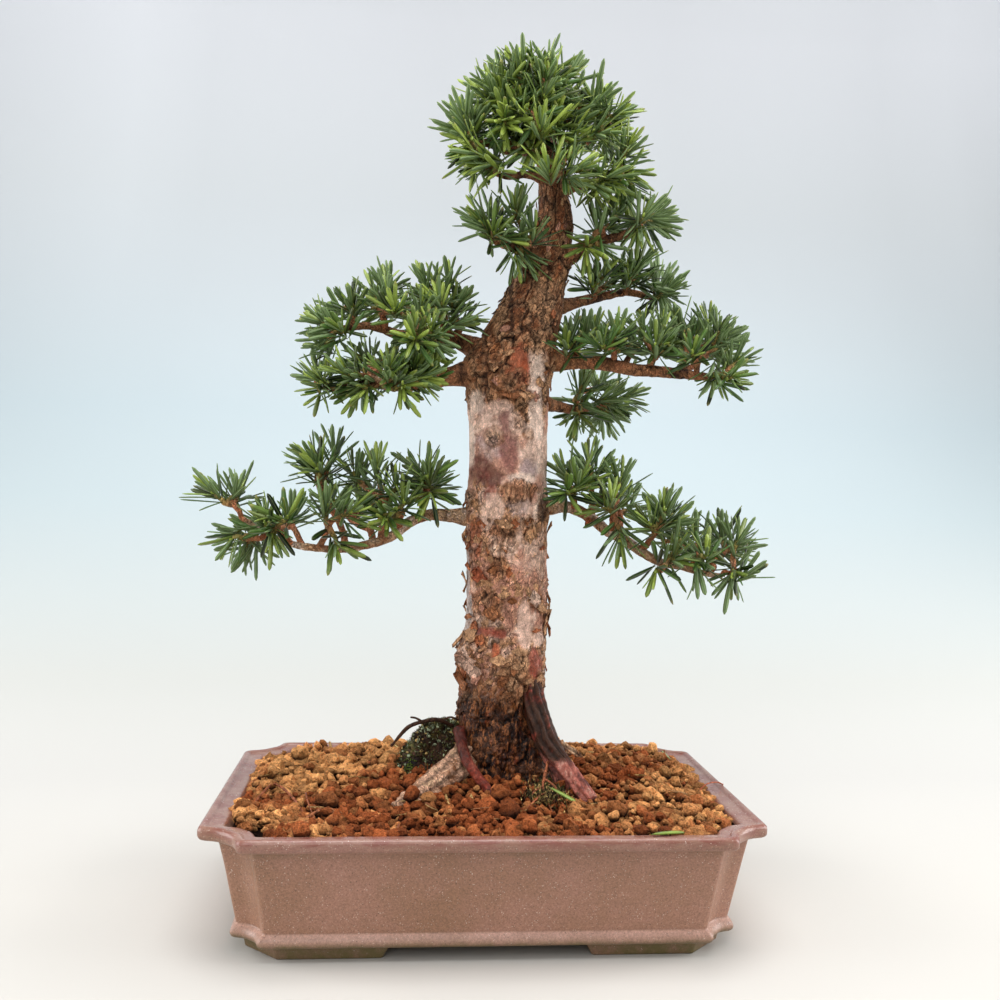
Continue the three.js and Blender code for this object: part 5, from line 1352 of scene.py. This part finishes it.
def blades(base, way, upper, length, width, thickness, arch, sweep):
    """Flat needles: base + way L t + across (x half(t) W/2 + S t^2) + upper (z half(t) D - A t^2), with
    t along the needle, (x, z) round its section, half(t) its outline, A its arch and S its sweep."""
    across = unit(np.cross(way, upper))
    t, half = BLADE_RUN[:, None, None], BLADE_HALF[:, None, None]
    x, z = BLADE_SIDE[:, None], BLADE_RISE[:, None]
    base, way, upper, across = (v[:, None, None, :] for v in (base, way, upper, across))
    length, width, arch, sweep = (v[:, None, None, None] for v in (length, width, arch, sweep))
    points = base + way * length * t + across * (x * half * width / 2 + sweep * t**2)
    return points + upper * (z * np.sqrt(half) * thickness - arch * t**2)


def blade_faces(count):
    """The faces of that many needles, with a quad on each end."""
    rows, columns = len(BLADE_RUN), len(BLADE_SIDE)
    end = np.arange(columns)
    one = np.vstack([*ring_faces(rows, columns, closed=False), end[::-1], end + (rows - 1) * columns])
    return copies(one, count, rows * columns)


def blade_values(count):
    """For each point of that many needles: its side from -1 to 1, its share of the length, and how far
    it lies on the underside."""
    one = stacked(BLADE_SIDE, BLADE_RUN[:, None], BLADE_UNDER).reshape(-1, 3)
    return np.tile(one, (count, 1))


def turned(axis, side, lean, turn):
    """Ways that lean from an axis and stand round it, with a turn measured from side."""
    out = np.cos(turn)[:, None] * side + np.sin(turn)[:, None] * np.cross(axis, side)
    return axis * np.cos(lean)[:, None] + out * np.sin(lean)[:, None], out


def twisted(way, upper, twist):
    """The upper side made square to the way and turned about it by twist."""
    upper = unit(upper - way * np.sum(upper * way, axis=-1, keepdims=True))
    return upper * np.cos(twist)[:, None] + np.cross(way, upper) * np.sin(twist)[:, None]


def square_to(axis):
    """A way square to one axis."""
    return unit(np.cross(axis, np.eye(3)[np.argmin(np.abs(axis))]))


def rosette(rng, tip, facing, count, size, youth, down=8.5):
    """The needles round a tip: each turned on by the golden angle, leaning 11 degrees from the way it
    faces at the middle and 56 at the outside, where they also stand lower on the shoot."""
    share = np.arange(count) / (count - 1)
    lean = 0.2 + 0.78 * share**0.8 + rng.normal(0, 0.17, count)
    turn = rng.uniform(0, TURN) + GOLDEN_ANGLE * np.arange(count) + rng.normal(0, 0.3, count)
    way, out = turned(facing, square_to(facing), lean, turn)
    base = tip - facing * (down * share - 0.4)[:, None] + out * 0.45
    length = size * (0.66 + 0.34 * ease(0, 0.35, share)) * rng.normal(1, 0.11, count)
    upper = twisted(way, facing + 0 * way, rng.normal(0, 0.3, count))
    age = np.clip(youth * (1.5 - share) + 0.5 * (1 - share) ** 2 + rng.normal(0, 0.1, count), 0, 1)
    return base, way, upper, length, age


def ranks(rng, start, tip, size, reach=24):
    """The needles down a shoot, one every 1.7 mm: in two ranks where it lies flat, all round where it
    stands up, 50 degrees from its way."""
    stem = tip - start
    run = np.linalg.norm(stem)
    stem = stem / run
    spots = np.arange(6.2, min(run - 0.5, reach), 1.7)
    count = len(spots)
    if not count:
        return None
    upright = abs(stem[2]) > 0.75
    side = square_to(stem) if upright else unit(np.cross(stem, UP))
    index = np.arange(count)
    turn = GOLDEN_ANGLE * index if upright else np.pi * (index % 2) + rng.normal(0, 0.5, count)
    way, out = turned(stem, side, rng.normal(0.87, 0.18, count), turn)
    base = tip - stem * spots[:, None] + out * 0.6
    upper = twisted(way, stem + UP + 0 * way, rng.normal(0, 0.35, count))
    return base, way, upper, size * rng.normal(0.97, 0.07, count), np.clip(rng.normal(0.05, 0.1, count), 0, 1)


# How far the rosette's middle lies behind a listed shoot's outermost point
TIP_DEPTH = 4.6


def grow_pad(sprays, settings, seed, young, full, grown):
    """All needles, buds and green twigs of one pad. Each listed shoot has a rosette and ranks, and some
    shorter shoots, as many as the pad is full, leave its twig on the way and fill the pad."""
    rng = np.random.default_rng(seed)
    size = settings.needle_length / MM * grown
    parts, twigs, buds = [], [], []
    for *_, fork, shoots in sprays:
        fork = np.array(fork, float)
        for *place, letters in shoots:
            tip = np.array(place, float)
            facing = unit(sum(np.array(WAYS[letter], float) for letter in letters))
            facing = unit(facing + 0.4 * unit(tip - fork) + [0, 0, 0.4] + rng.normal(0, 0.22, 3))
            tip = tip - facing * TIP_DEPTH
            youth = float(np.clip(rng.normal(young, 0.16), 0, 0.7))
            parts.append(rosette(rng, tip, facing, settings.rosette_needles + int(3 * full - 4), size, youth))
            parts.append(ranks(rng, fork, tip, size))
            twigs.append((twig_points(fork, tip - facing * 1.5, 1.9, 1.1, seed + len(twigs), 1.0), tip))
            buds.append((tip, facing))
            for _ in range(int(full + rng.random())):
                share = rng.uniform(0.1, 0.8)
                start = fork + (tip - fork) * share
                way = unit(unit(tip - fork) * 0.5 + rng.normal(0, 0.75, 3) + [0, 0, 0.15])
                end = start + way * rng.uniform(5, 11)
                lean = unit(way + 0.4 * facing)
                count = int(rng.integers(6, 11))
                parts.append(rosette(rng, end, lean, count, size * rng.uniform(0.78, 0.95), youth * 0.6, 6.5))
                parts.append(ranks(rng, start, end, size * 0.9, 10))
                twigs.append((twig_points(start, end - lean, 1.2, 0.9, seed + len(twigs), 0.6), end))
    base, way, upper, length, age = (np.concatenate(v) for v in zip(*[p for p in parts if p is not None]))
    count = len(base)
    width = settings.needle_width / MM * rng.normal(1, 0.07, count) * np.clip(length / size, 0.75, 1)
    points = blades(base, way, upper, length, width, settings.needle_thickness / MM,
                    rng.normal(0.7, 0.8, count), rng.normal(0, 0.7, count))
    tone = np.repeat(stacked(age, rng.random(count), rng.random(count)), points[0, ..., 0].size, axis=0)
    return (points, [blade_faces(count)], blade_values(count), tone), twigs, buds


# How young the pads' needles are, where that isn't YOUNG
YOUNG = 0.06
YOUTH = {"crown": 0.62, "middle_left": 0.26, "high_left": 0.18}

# How many shorter shoots fill the way to a listed one, where that isn't FILLED
FILLED = 1.1
FULL = {"crown": 1.7, "lower_left": 0.45, "lower_right": 0.3, "middle_left": 1.3, "middle_right": 1.0}

# How long the pads' needles are, where that isn't the full length
GROWN = {"middle_left": 0.86, "middle_right": 0.92, "crown": 1.04}

# Shoots that fill a pad between its sprays, from a fork in the wood inside it
INNER_SHOOTS = {
    "crown": [((22, 10, 422), [
        (37, 2, 434, "ufr"), (50, 6, 424, "ur"), (18, -4, 404, "f"), (2, -2, 427, "ulf"),
        (-10, 0, 433, "ul"), (26, 0, 443, "uf"), (58, 6, 436, "ur"), (10, 2, 448, "ulf"),
        (30, -8, 418, "fu"), (8, -8, 414, "f"), (44, -4, 410, "fr"),
    ])],
    "middle_left": [
        ((-38, 14, 303), [(-32, 4, 291, "fd"), (-44, 4, 290, "fl"), (-38, -4, 286, "f")]),
        ((-38, -2, 276.5), [(-30, -4, 288, "fu"), (-46, 2, 287, "ul"), (-37, -10, 285, "f")]),
    ],
}

# A bud, as [how far past the shoot's tip, radius]
BUD = ((-1, 0.5), (-0.3, 1.0), (0.7, 1.15), (1.6, 0.8), (2.3, 0.25))


def needle_green(settings):
    """Glossy green needles: old to full-grown by each needle's own number, yellow green where young,
    with a pale edge, a faint rib, a yellow foot, an underside with two pale bands, and painted shade
    that darkens each needle towards its foot."""
    mat = Shader("needle_green")
    leaf, tone = mat.split(mat.field("leaf")), mat.split(mat.field("tone"))
    side = mat.maths("ABSOLUTE", leaf["X"])
    rib = mat.ramp(side, (0.04, 0.22), (0.16, 0))
    colour = mat.blend(mat.ramp(tone["Y"], (0.1, 0), (0.9, 1)), settings.needle_dark,
                       settings.needle_green)
    young, edge = mat.ramp(tone["X"], (0.1, 0), (0.75, 0.9)), mat.ramp(side, (0.78, 0), (1, 0.34))
    for share in (young, edge, rib):
        colour = mat.blend(share, colour, settings.needle_young)
    old_tip = mat.times(mat.ramp(leaf["Y"], (0.86, 0), (1, 0.8)),
                        mat.ramp(tone["Z"], (0.62, 0), (0.9, 1)))
    colour = mat.blend(old_tip, colour, linear(150, 140, 70))
    colour = mat.blend(mat.ramp(leaf["Y"], (0.03, 0.7), (0.16, 0)), colour, linear(140, 140, 60))
    bands = mat.ramp(side, (0.1, 0.2), (0.3, 1), (0.62, 1), (0.85, 0.1))
    below = mat.ramp(leaf["Z"], (0.52, 0), (0.6, 1))
    colour = mat.blend(below, colour, mat.blend(bands, settings.needle_green, settings.needle_under))
    colour = mat.shaded(colour, mat.mottle(320, 3, 0.6, (0.3, 0.8), (0.7, 1.14)))
    # Painted shade darkens each needle towards its foot, where the pad shades it
    colour = mat.shaded(colour, mat.ramp(leaf["Y"], (0, 0.5), (0.4, 1)))
    rough = mat.blend(below, mat.ramp(tone["Z"], (0, 0.24), (1, 0.38)), (0.6, 0.6, 0.6))
    bump = mat.relief(rib, 0.0001, 0.5)
    return mat.finish(Base_Color=colour, Roughness=rough, Specular_IOR_Level=0.4, Normal=bump)


class BONSAI_OT_foliage(bpy.types.Operator):
    """Build the pads of needles with their buds and green twigs"""

    bl_idname = "bonsai.foliage"
    bl_label = "Needles"

    def execute(self, context):
        settings = context.scene.bonsai_yew
        green = needle_green(settings)
        stems = Surface()
        for number, (pad, sprays) in enumerate(PADS.items()):
            (points, faces, leaf, tone), twigs, buds = grow_pad(
                [*sprays, *INNER_SHOOTS.get(pad, [])], settings, 40 + number, YOUTH.get(pad, YOUNG),
                FULL.get(pad, FILLED), GROWN.get(pad, 1.0))
            needles = Surface(points, faces, leaf=leaf, tone=tone)
            for tip, facing in buds:
                path = np.array([[*(tip + facing * run), radius] for run, radius in BUD])
                needles.add(*tube(path, 8), leaf=[0.5, 0.4, 0], tone=[0.7, 0.5, 0.2])
            piece = needles.build("needles_" + pad, [green], "needles")
            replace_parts(piece, *[f"spray_{pad}_{row[0]}" for row in sprays])
            for points, tip in twigs:
                path = smooth_path(points, 1.7)
                places, sides = tube(path, 6, lambda rings, angle: 0.1 * layered(rings, 1.8, 121))
                young = 0.75 * ease(14, 3, np.linalg.norm(places - tip, axis=1))
                colour = wood_colour(places, "twig", "brown", "tan", 4)
                stems.add(places, sides, bark=mixed(colour, np.array(linear(120, 128, 62)), young))
        stems.build("green_twigs", [bark_material("twig_bark")], "bark")
        return {"FINISHED"}


# Moss and litter

# The mound's middle, half sizes and height
MOUND = (-22, 12, 24, 18, 26)
TUFT_COUNT, CLUMP_COUNT, CRUMB_COUNT, DRY_COUNT = 6500, 1500, 300, 46

# Litter, as lines of [x, y, z, radius]
RED_STALK = [[27, -40, 60, 0.5], [28, -40, 66, 0.45], [27, -41, 73, 0.35]]
DRY_TWIGS = [
    [[-15, 6, 92, 1], [-23, 2, 96, 1.15], [-31, 0, 95.5, 1.1], [-38, -2, 93.5, 0.95], [-43, -3, 89, 0.9],
     [-48, -4, 83, 0.6]],
    [[-31, 0, 95, 0.7], [-35, -1, 97.5, 0.6], [-38, -1, 98, 0.4]],
    [[-12, -2, 97, 0.7], [-17, -5, 99, 0.5], [-20, -6, 98, 0.4]],
]
ROOTLETS = [
    [[-116, -30, 60, 0.7], [-112, -22, 64, 0.65], [-108, -15, 66, 0.6], [-102, -21, 65, 0.6],
     [-96, -32, 63, 0.55], [-89, -50, 60.5, 0.4]],
    [[-91, -21, 63, 0.4], [-89, -38, 64.5, 0.4], [-84, -58, 61, 0.3]],
    [[36, -44, 63, 0.5], [30, -38, 67, 0.5], [25, -44, 66, 0.4], [19, -49, 62, 0.3]],
    [[34, -20, 79, 0.8], [32, -27, 75, 0.7], [30, -33, 70, 0.6], [31, -41, 65, 0.5], [33, -50, 61, 0.4]],
    [[31, -30, 73, 0.5], [36, -35, 70, 0.45], [37, -42, 66, 0.4], [41, -47, 62, 0.3]],
    [[30, -34, 70, 0.5], [25, -37, 68, 0.4], [22, -42, 64, 0.3]],
    [[-66, 18, 64, 0.9], [-62, 17, 67, 0.9], [-59, 15, 70, 0.6]],
]
FIBRE = [[116, -16, 62, 0.3], [122, -12, 65, 0.32], [129, -7, 64.6, 0.32], [134, -2, 62, 0.3]]

# Green needles that fell on the soil, as [x, y, z, and its way]
GREEN_LITTER = [
    (39, -14, 68, 8, -20, -2), (74, -87, 62, 15, 5, 0.4), (116, 44, 64, -1, 15, 1),
    (32, -38.5, 71, 13, -7, -4.6),
]


def mound_surface():
    """A mound against the trunk's foot: a dome of height h(1 - s^1.8)^0.85 on an oval, lumped by noise."""
    x, y, half_x, half_y, high = MOUND
    share, turn = np.linspace(1, 0.02, 40)[:, None], np.linspace(0, TURN, 90, endpoint=False)
    px, py = x + half_x * share * np.cos(turn), y + half_y * share * np.sin(turn)
    ground = soil_height(px, py) - 2
    points = stacked(px, py, ground + high * (1 - share**1.8) ** 0.85)
    lumps = (10 * layered(points, 11, 131) + 7 * layered(points, 5, 137)) * ease(1, 0.7, share)
    points = points + lumps[..., None] * np.array([0.5, -0.5, 0.8])
    rings = np.concatenate([stacked(px[0], py[0], ground[0] - 3)[None], points])
    return rings, *closed(rings, [[x, y, ground[0, 0] - 3], points[-1].mean(axis=0)])


def tufts(rng, spots, normals, low, high):
    """Moss leaves: three-sided spikes from each spot along its normal, leaning at random."""
    count = len(spots)
    way = unit(normals + rng.normal(0, 0.5, (count, 3)))
    side = unit(np.cross(way, rng.normal(size=(count, 3))))
    other = np.cross(way, side)
    turn = np.arange(3) * TURN / 3
    ring = side[:, None] * np.cos(turn)[None, :, None] + other[:, None] * np.sin(turn)[None, :, None]
    base = spots[:, None] + ring * rng.uniform(0.25, 0.5, (count, 1, 1))
    tip = spots + way * rng.uniform(low, high, (count, 1))
    points = np.concatenate([base, tip[:, None]], axis=1)
    one = np.array([[0, 1, 3], [1, 2, 3], [2, 0, 3], [2, 1, 0]])
    return points, [copies(one, count, 4)]


def add_moss(moss, rng):
    """The mound with its tufts and crumbs of lichen, and a thin clump in front of the trunk."""
    rings, points, faces = mound_surface()
    moss.add(points, faces, bark=wood_colour(points, "dark", "hollow", "moss", 9))
    middle = np.array([*MOUND[:2], 62])
    rows = rng.integers(1, rings.shape[0] - 1, TUFT_COUNT)
    spots = rings[rows, rng.integers(0, rings.shape[1], TUFT_COUNT)]
    x, y, radius = trunk_axis(spots[:, 2])
    spots = spots[np.hypot(spots[:, 0] - x, spots[:, 1] - y) > radius - 1]
    leaves = tufts(rng, spots, unit(spots - middle), 0.7, 2.5)
    shade = rng.random(len(spots))
    green = mixed("moss", "lichen", ease(0.78, 0.9, shade))
    bare = ease(0.15, -0.25, layered(spots, 6, 133)) * (shade < 0.8)
    green = mixed(green, COLOURS["soil"] * 0.8, np.maximum(bare, ease(0.6, 0, shade) * 0.8) * 0.9)
    bright = bell(np.linalg.norm(spots - [-35, 3, 71], axis=1), 0, 5)
    green = mixed(green, np.array(linear(118, 148, 44)), bright)
    moss.add(*leaves, bark=np.repeat(green, 4, axis=0))

    x, y = rng.normal(33, 5, CLUMP_COUNT), rng.normal(-34, 6, CLUMP_COUNT)
    clump = stacked(x, y, soil_height(x, y) + rng.uniform(1, 5.5, CLUMP_COUNT))
    leaves = tufts(rng, clump, np.tile(UP, (CLUMP_COUNT, 1)), 0.8, 3)
    shade = rng.random(CLUMP_COUNT)
    green = mixed("moss", "soil", ease(0.2, 0.5, shade))
    green = mixed(green, COLOURS["straw"] * 1.3, ease(0.78, 0.85, shade))
    moss.add(*leaves, bark=np.repeat(green, 4, axis=0))
    form, form_faces = ball()
    for spot in spots[rng.integers(0, len(spots), CRUMB_COUNT)]:
        points = spot + unit(spot - middle) + form * rng.uniform(0.3, 1.1, 3)
        name = str(rng.choice(["lichen", "straw", "moss", "soil"]))
        moss.add(points, [form_faces], bark=COLOURS[name] * rng.uniform(0.5, 1.1))


def add_litter(litter, rng):
    """Dry twigs, rootlets, a stalk and a fibre as thin tubes, and dry needles strewn on the grains."""
    for lines, name in ((DRY_TWIGS, "dark"), (ROOTLETS, "rust"), ([RED_STALK], "straw"), ([FIBRE], "orange")):
        for line in lines:
            path = smooth_path(line, 0.8)
            places, sides = tube(path, 8, lambda rings, angle: 0.5 * path[:, 3:4] * layered(rings, 2.2, 141))
            litter.add(places, sides, bark=COLOURS[name] * (1 + 0.3 * layered(places, 2, 142)[:, None]))
    x, y = rng.uniform(-108, 108, DRY_COUNT), rng.uniform(-72, 68, DRY_COUNT)
    clear = off_foot(x, y, 34)
    x, y = x[clear], y[clear]
    count = len(x)
    turn = rng.uniform(0, TURN, count)
    way = unit(stacked(np.cos(turn), np.sin(turn), rng.normal(0, 0.12, count)))
    points = blades(stacked(x, y, soil_height(x, y) + 2.9), way,
                    twisted(way, UP + 0 * way, rng.normal(0, 0.5, count)), np.full(count, 13.0),
                    np.full(count, 1.9), 0.5, rng.normal(0, 1, count), rng.normal(0, 1.5, count))
    dry = mixed("rust", "straw", rng.random(count))
    litter.add(points, [blade_faces(count)], bark=np.repeat(dry, points[0, ..., 0].size, axis=0))


class BONSAI_OT_moss(bpy.types.Operator):
    """Build the mossy mound, the lichen, the dry twigs and the fallen needles"""

    bl_idname = "bonsai.moss"
    bl_label = "Moss and litter"

    def execute(self, context):
        rng = np.random.default_rng(77)
        material = bark_material("moss_and_litter")
        moss, litter = Surface(), Surface()
        add_moss(moss, rng)
        moss.build("moss", [material], "clay_grains")
        add_litter(litter, rng)
        litter.build("litter", [material], "bark")
        rows = np.array(GREEN_LITTER, float)
        way, ones = unit(rows[:, 3:]), np.ones(len(rows))
        points = blades(rows[:, :3], way, twisted(way, UP + 0 * way, 0.3 * ones), 18.5 * ones, 2.8 * ones,
                        0.6, 0.6 * ones, 1.2 * ones)
        fallen = Surface(points, [blade_faces(len(rows))], leaf=blade_values(len(rows)), tone=[0.5, 0.8, 0.2])
        fallen.build("fallen_needles", [needle_green(context.scene.bonsai_yew)], "needles")
        return {"FINISHED"}


# Stage

CAMERA_PLACE = (-49.3, -598.8, 227.6)
CAMERA_YAW = 5.398
CAMERA_PITCH = 1.176
CAMERA_ROLL = 1.4506
LAMPS = [
    # name, place in metres, place it shines at, size in metres, share of the main light
    ("front", (-0.4, -1.5, 1.1), (0, 0, 0.2), 1.2, 0.5),
    ("left", (-1.4, 0.1, 0.6), (0, 0, 0.25), 1.1, 0.75),
    ("right", (1.4, 0.0, 0.6), (0, 0, 0.25), 1.1, 0.9),
    ("top", (0.0, -0.25, 1.8), (0, 0, 0.2), 1.2, 1.25),
    ("backdrop", (0.6, 0.9, 2.2), (0.4, 2.0, 0.5), 1.5, 0.6),
]


# The floor's tint up the backdrop, partly its own pale blue and partly a painted gradient of light
# that grows paler higher up, how much darker it is in the middle, and from where upwards
BACKDROP_TINTS = [
    (0.06, (0.5, 0.49, 0.468)), (0.163, (0.53, 0.535, 0.508)), (0.266, (0.535, 0.575, 0.57)),
    (0.393, (0.525, 0.605, 0.628)), (0.518, (0.54, 0.625, 0.66)), (0.7, (0.635, 0.685, 0.715)),
    (0.818, (0.7, 0.735, 0.76)), (1, (0.82, 0.84, 0.88)),
]
SIDEWAYS = [(0, 0.735), (0.216, 0.745), (0.344, 0.79), (0.62, 0.9), (0.75, 1.02), (1, 1.1)]
UPWARDS = [(0.18, 0), (0.32, 0.15), (0.45, 0.5), (0.56, 0.75), (0.75, 0.85), (0.91, 1)]


class BONSAI_OT_stage(bpy.types.Operator):
    """Build the pale floor, the soft lights and the camera"""

    bl_idname = "bonsai.stage"
    bl_label = "Stage"

    def execute(self, context):
        from mathutils import Matrix, Vector

        settings, scene = context.scene.bonsai_stage, context.scene
        bend = np.linspace(0, np.pi / 2, 24)
        run = np.concatenate([[-2.2, 0.6], 0.6 + 1.4 * np.sin(bend[1:]), [2.0]])
        rise = np.concatenate([[0, 0], 1.4 * (1 - np.cos(bend[1:])), [3.0]])
        across = np.array([-2.6, 2.6])
        points = np.stack([np.tile(across, len(run)), np.repeat(run, 2), np.repeat(rise, 2)], -1)
        rows = np.arange(len(run) - 1) * 2
        mesh = bpy.data.meshes.new("floor")
        mesh.from_pydata(points.tolist(), [], np.stack([rows, rows + 1, rows + 3, rows + 2], -1).tolist())
        mesh.shade_smooth()
        mat = Shader("floor")
        place = mat.split(mat.place)
        share = mat.maths("ADD", mat.times(place["Y"], 0.25), mat.times(place["Z"], 0.4))
        # The tint up the backdrop paints a gradient of light onto it, paler higher up
        tint = mat.ramp(share, (0.0, settings.floor), *BACKDROP_TINTS)
        # The lamps light the upper backdrop most in its middle, so its tint is darker there
        aside = mat.maths("ABSOLUTE", mat.maths("SUBTRACT", place["X"], 0.3))
        even = mat.ramp(mat.times(aside, 0.8), *SIDEWAYS)
        upper = mat.ramp(mat.times(place["Z"], 0.7), *UPWARDS)
        tint = mat.blend(upper, tint, mat.shaded(tint, even))
        mesh.materials.append(mat.finish(Base_Color=tint, Roughness=0.9))
        floor = bpy.data.objects.new("floor", mesh)
        scene.collection.objects.link(floor)

        for name, place, target, size, share in LAMPS:
            lamp = bpy.data.lights.new(name, "AREA")
            lamp.energy, lamp.size = settings.light * share, size
            holder = bpy.data.objects.new(name, lamp)
            holder.location = place
            aim = Vector(target) - Vector(place)
            holder.rotation_euler = aim.to_track_quat("-Z", "Y").to_euler()
            scene.collection.objects.link(holder)
        scene.world = scene.world or bpy.data.worlds.new("studio")
        scene.world.use_nodes = True
        sky = scene.world.node_tree.nodes["Background"]
        sky.inputs["Color"].default_value = (0.92, 0.96, 1.0, 1)
        sky.inputs["Strength"].default_value = 0.22

        yaw, pitch, roll = np.radians([CAMERA_YAW, CAMERA_PITCH, CAMERA_ROLL])
        ahead = np.array([np.sin(yaw) * np.cos(pitch), np.cos(yaw) * np.cos(pitch), -np.sin(pitch)])
        right = np.array([np.cos(yaw), -np.sin(yaw), 0])
        up = np.cross(right, ahead)
        turn = np.stack([right * np.cos(roll) + up * np.sin(roll), up * np.cos(roll) - right * np.sin(roll),
                         -ahead], axis=1)
        lens = bpy.data.cameras.new("camera")
        lens.lens, lens.sensor_width, lens.clip_start = settings.lens, 36, 0.01
        camera = bpy.data.objects.new("camera", lens)
        camera.matrix_world = Matrix.Translation(Vector(CAMERA_PLACE) * MM) @ Matrix(turn.tolist()).to_4x4()
        scene.collection.objects.link(camera)
        scene.camera = camera
        scene.view_settings.view_transform = "Standard"
        return {"FINISHED"}


# Add-on


class BONSAI_PT_panel(bpy.types.Panel):
    """The bonsai's sizes, colours and building steps"""

    bl_idname = "BONSAI_PT_panel"
    bl_label = "Yew Bonsai"
    bl_space_type = "VIEW_3D"
    bl_region_type = "UI"
    bl_category = "Bonsai"

    def draw(self, context):
        layout = self.layout
        for name in ("bonsai_yew", "bonsai_pot", "bonsai_soil", "bonsai_stage"):
            group = getattr(context.scene, name)
            box = layout.box()
            for key in group.__annotations__:
                box.prop(group, key)
        for operator in BUILD_STEPS:
            layout.operator(operator.bl_idname)


BUILD_STEPS = (
    BONSAI_OT_pot, BONSAI_OT_soil, BONSAI_OT_trunk, BONSAI_OT_branches, BONSAI_OT_flakes,
    BONSAI_OT_foliage, BONSAI_OT_moss, BONSAI_OT_stage,
)
CLASSES = (YewSettings, PotSettings, SoilSettings, StageSettings, *BUILD_STEPS, BONSAI_PT_panel)
GROUPS = {
    "bonsai_yew": YewSettings, "bonsai_pot": PotSettings, "bonsai_soil": SoilSettings,
    "bonsai_stage": StageSettings,
}


def register():
    for one in CLASSES:
        bpy.utils.register_class(one)
    for name, group in GROUPS.items():
        setattr(bpy.types.Scene, name, bpy.props.PointerProperty(type=group))


def unregister():
    for name in GROUPS:
        delattr(bpy.types.Scene, name)
    for one in reversed(CLASSES):
        bpy.utils.unregister_class(one)


def main():
    register()
    bpy.ops.bonsai.pot()
    bpy.ops.bonsai.soil()
    bpy.ops.bonsai.trunk()
    bpy.ops.bonsai.branches()
    bpy.ops.bonsai.flakes()
    bpy.ops.bonsai.foliage()
    bpy.ops.bonsai.moss()
    bpy.ops.bonsai.stage()


if __name__ == "__main__":
    main()
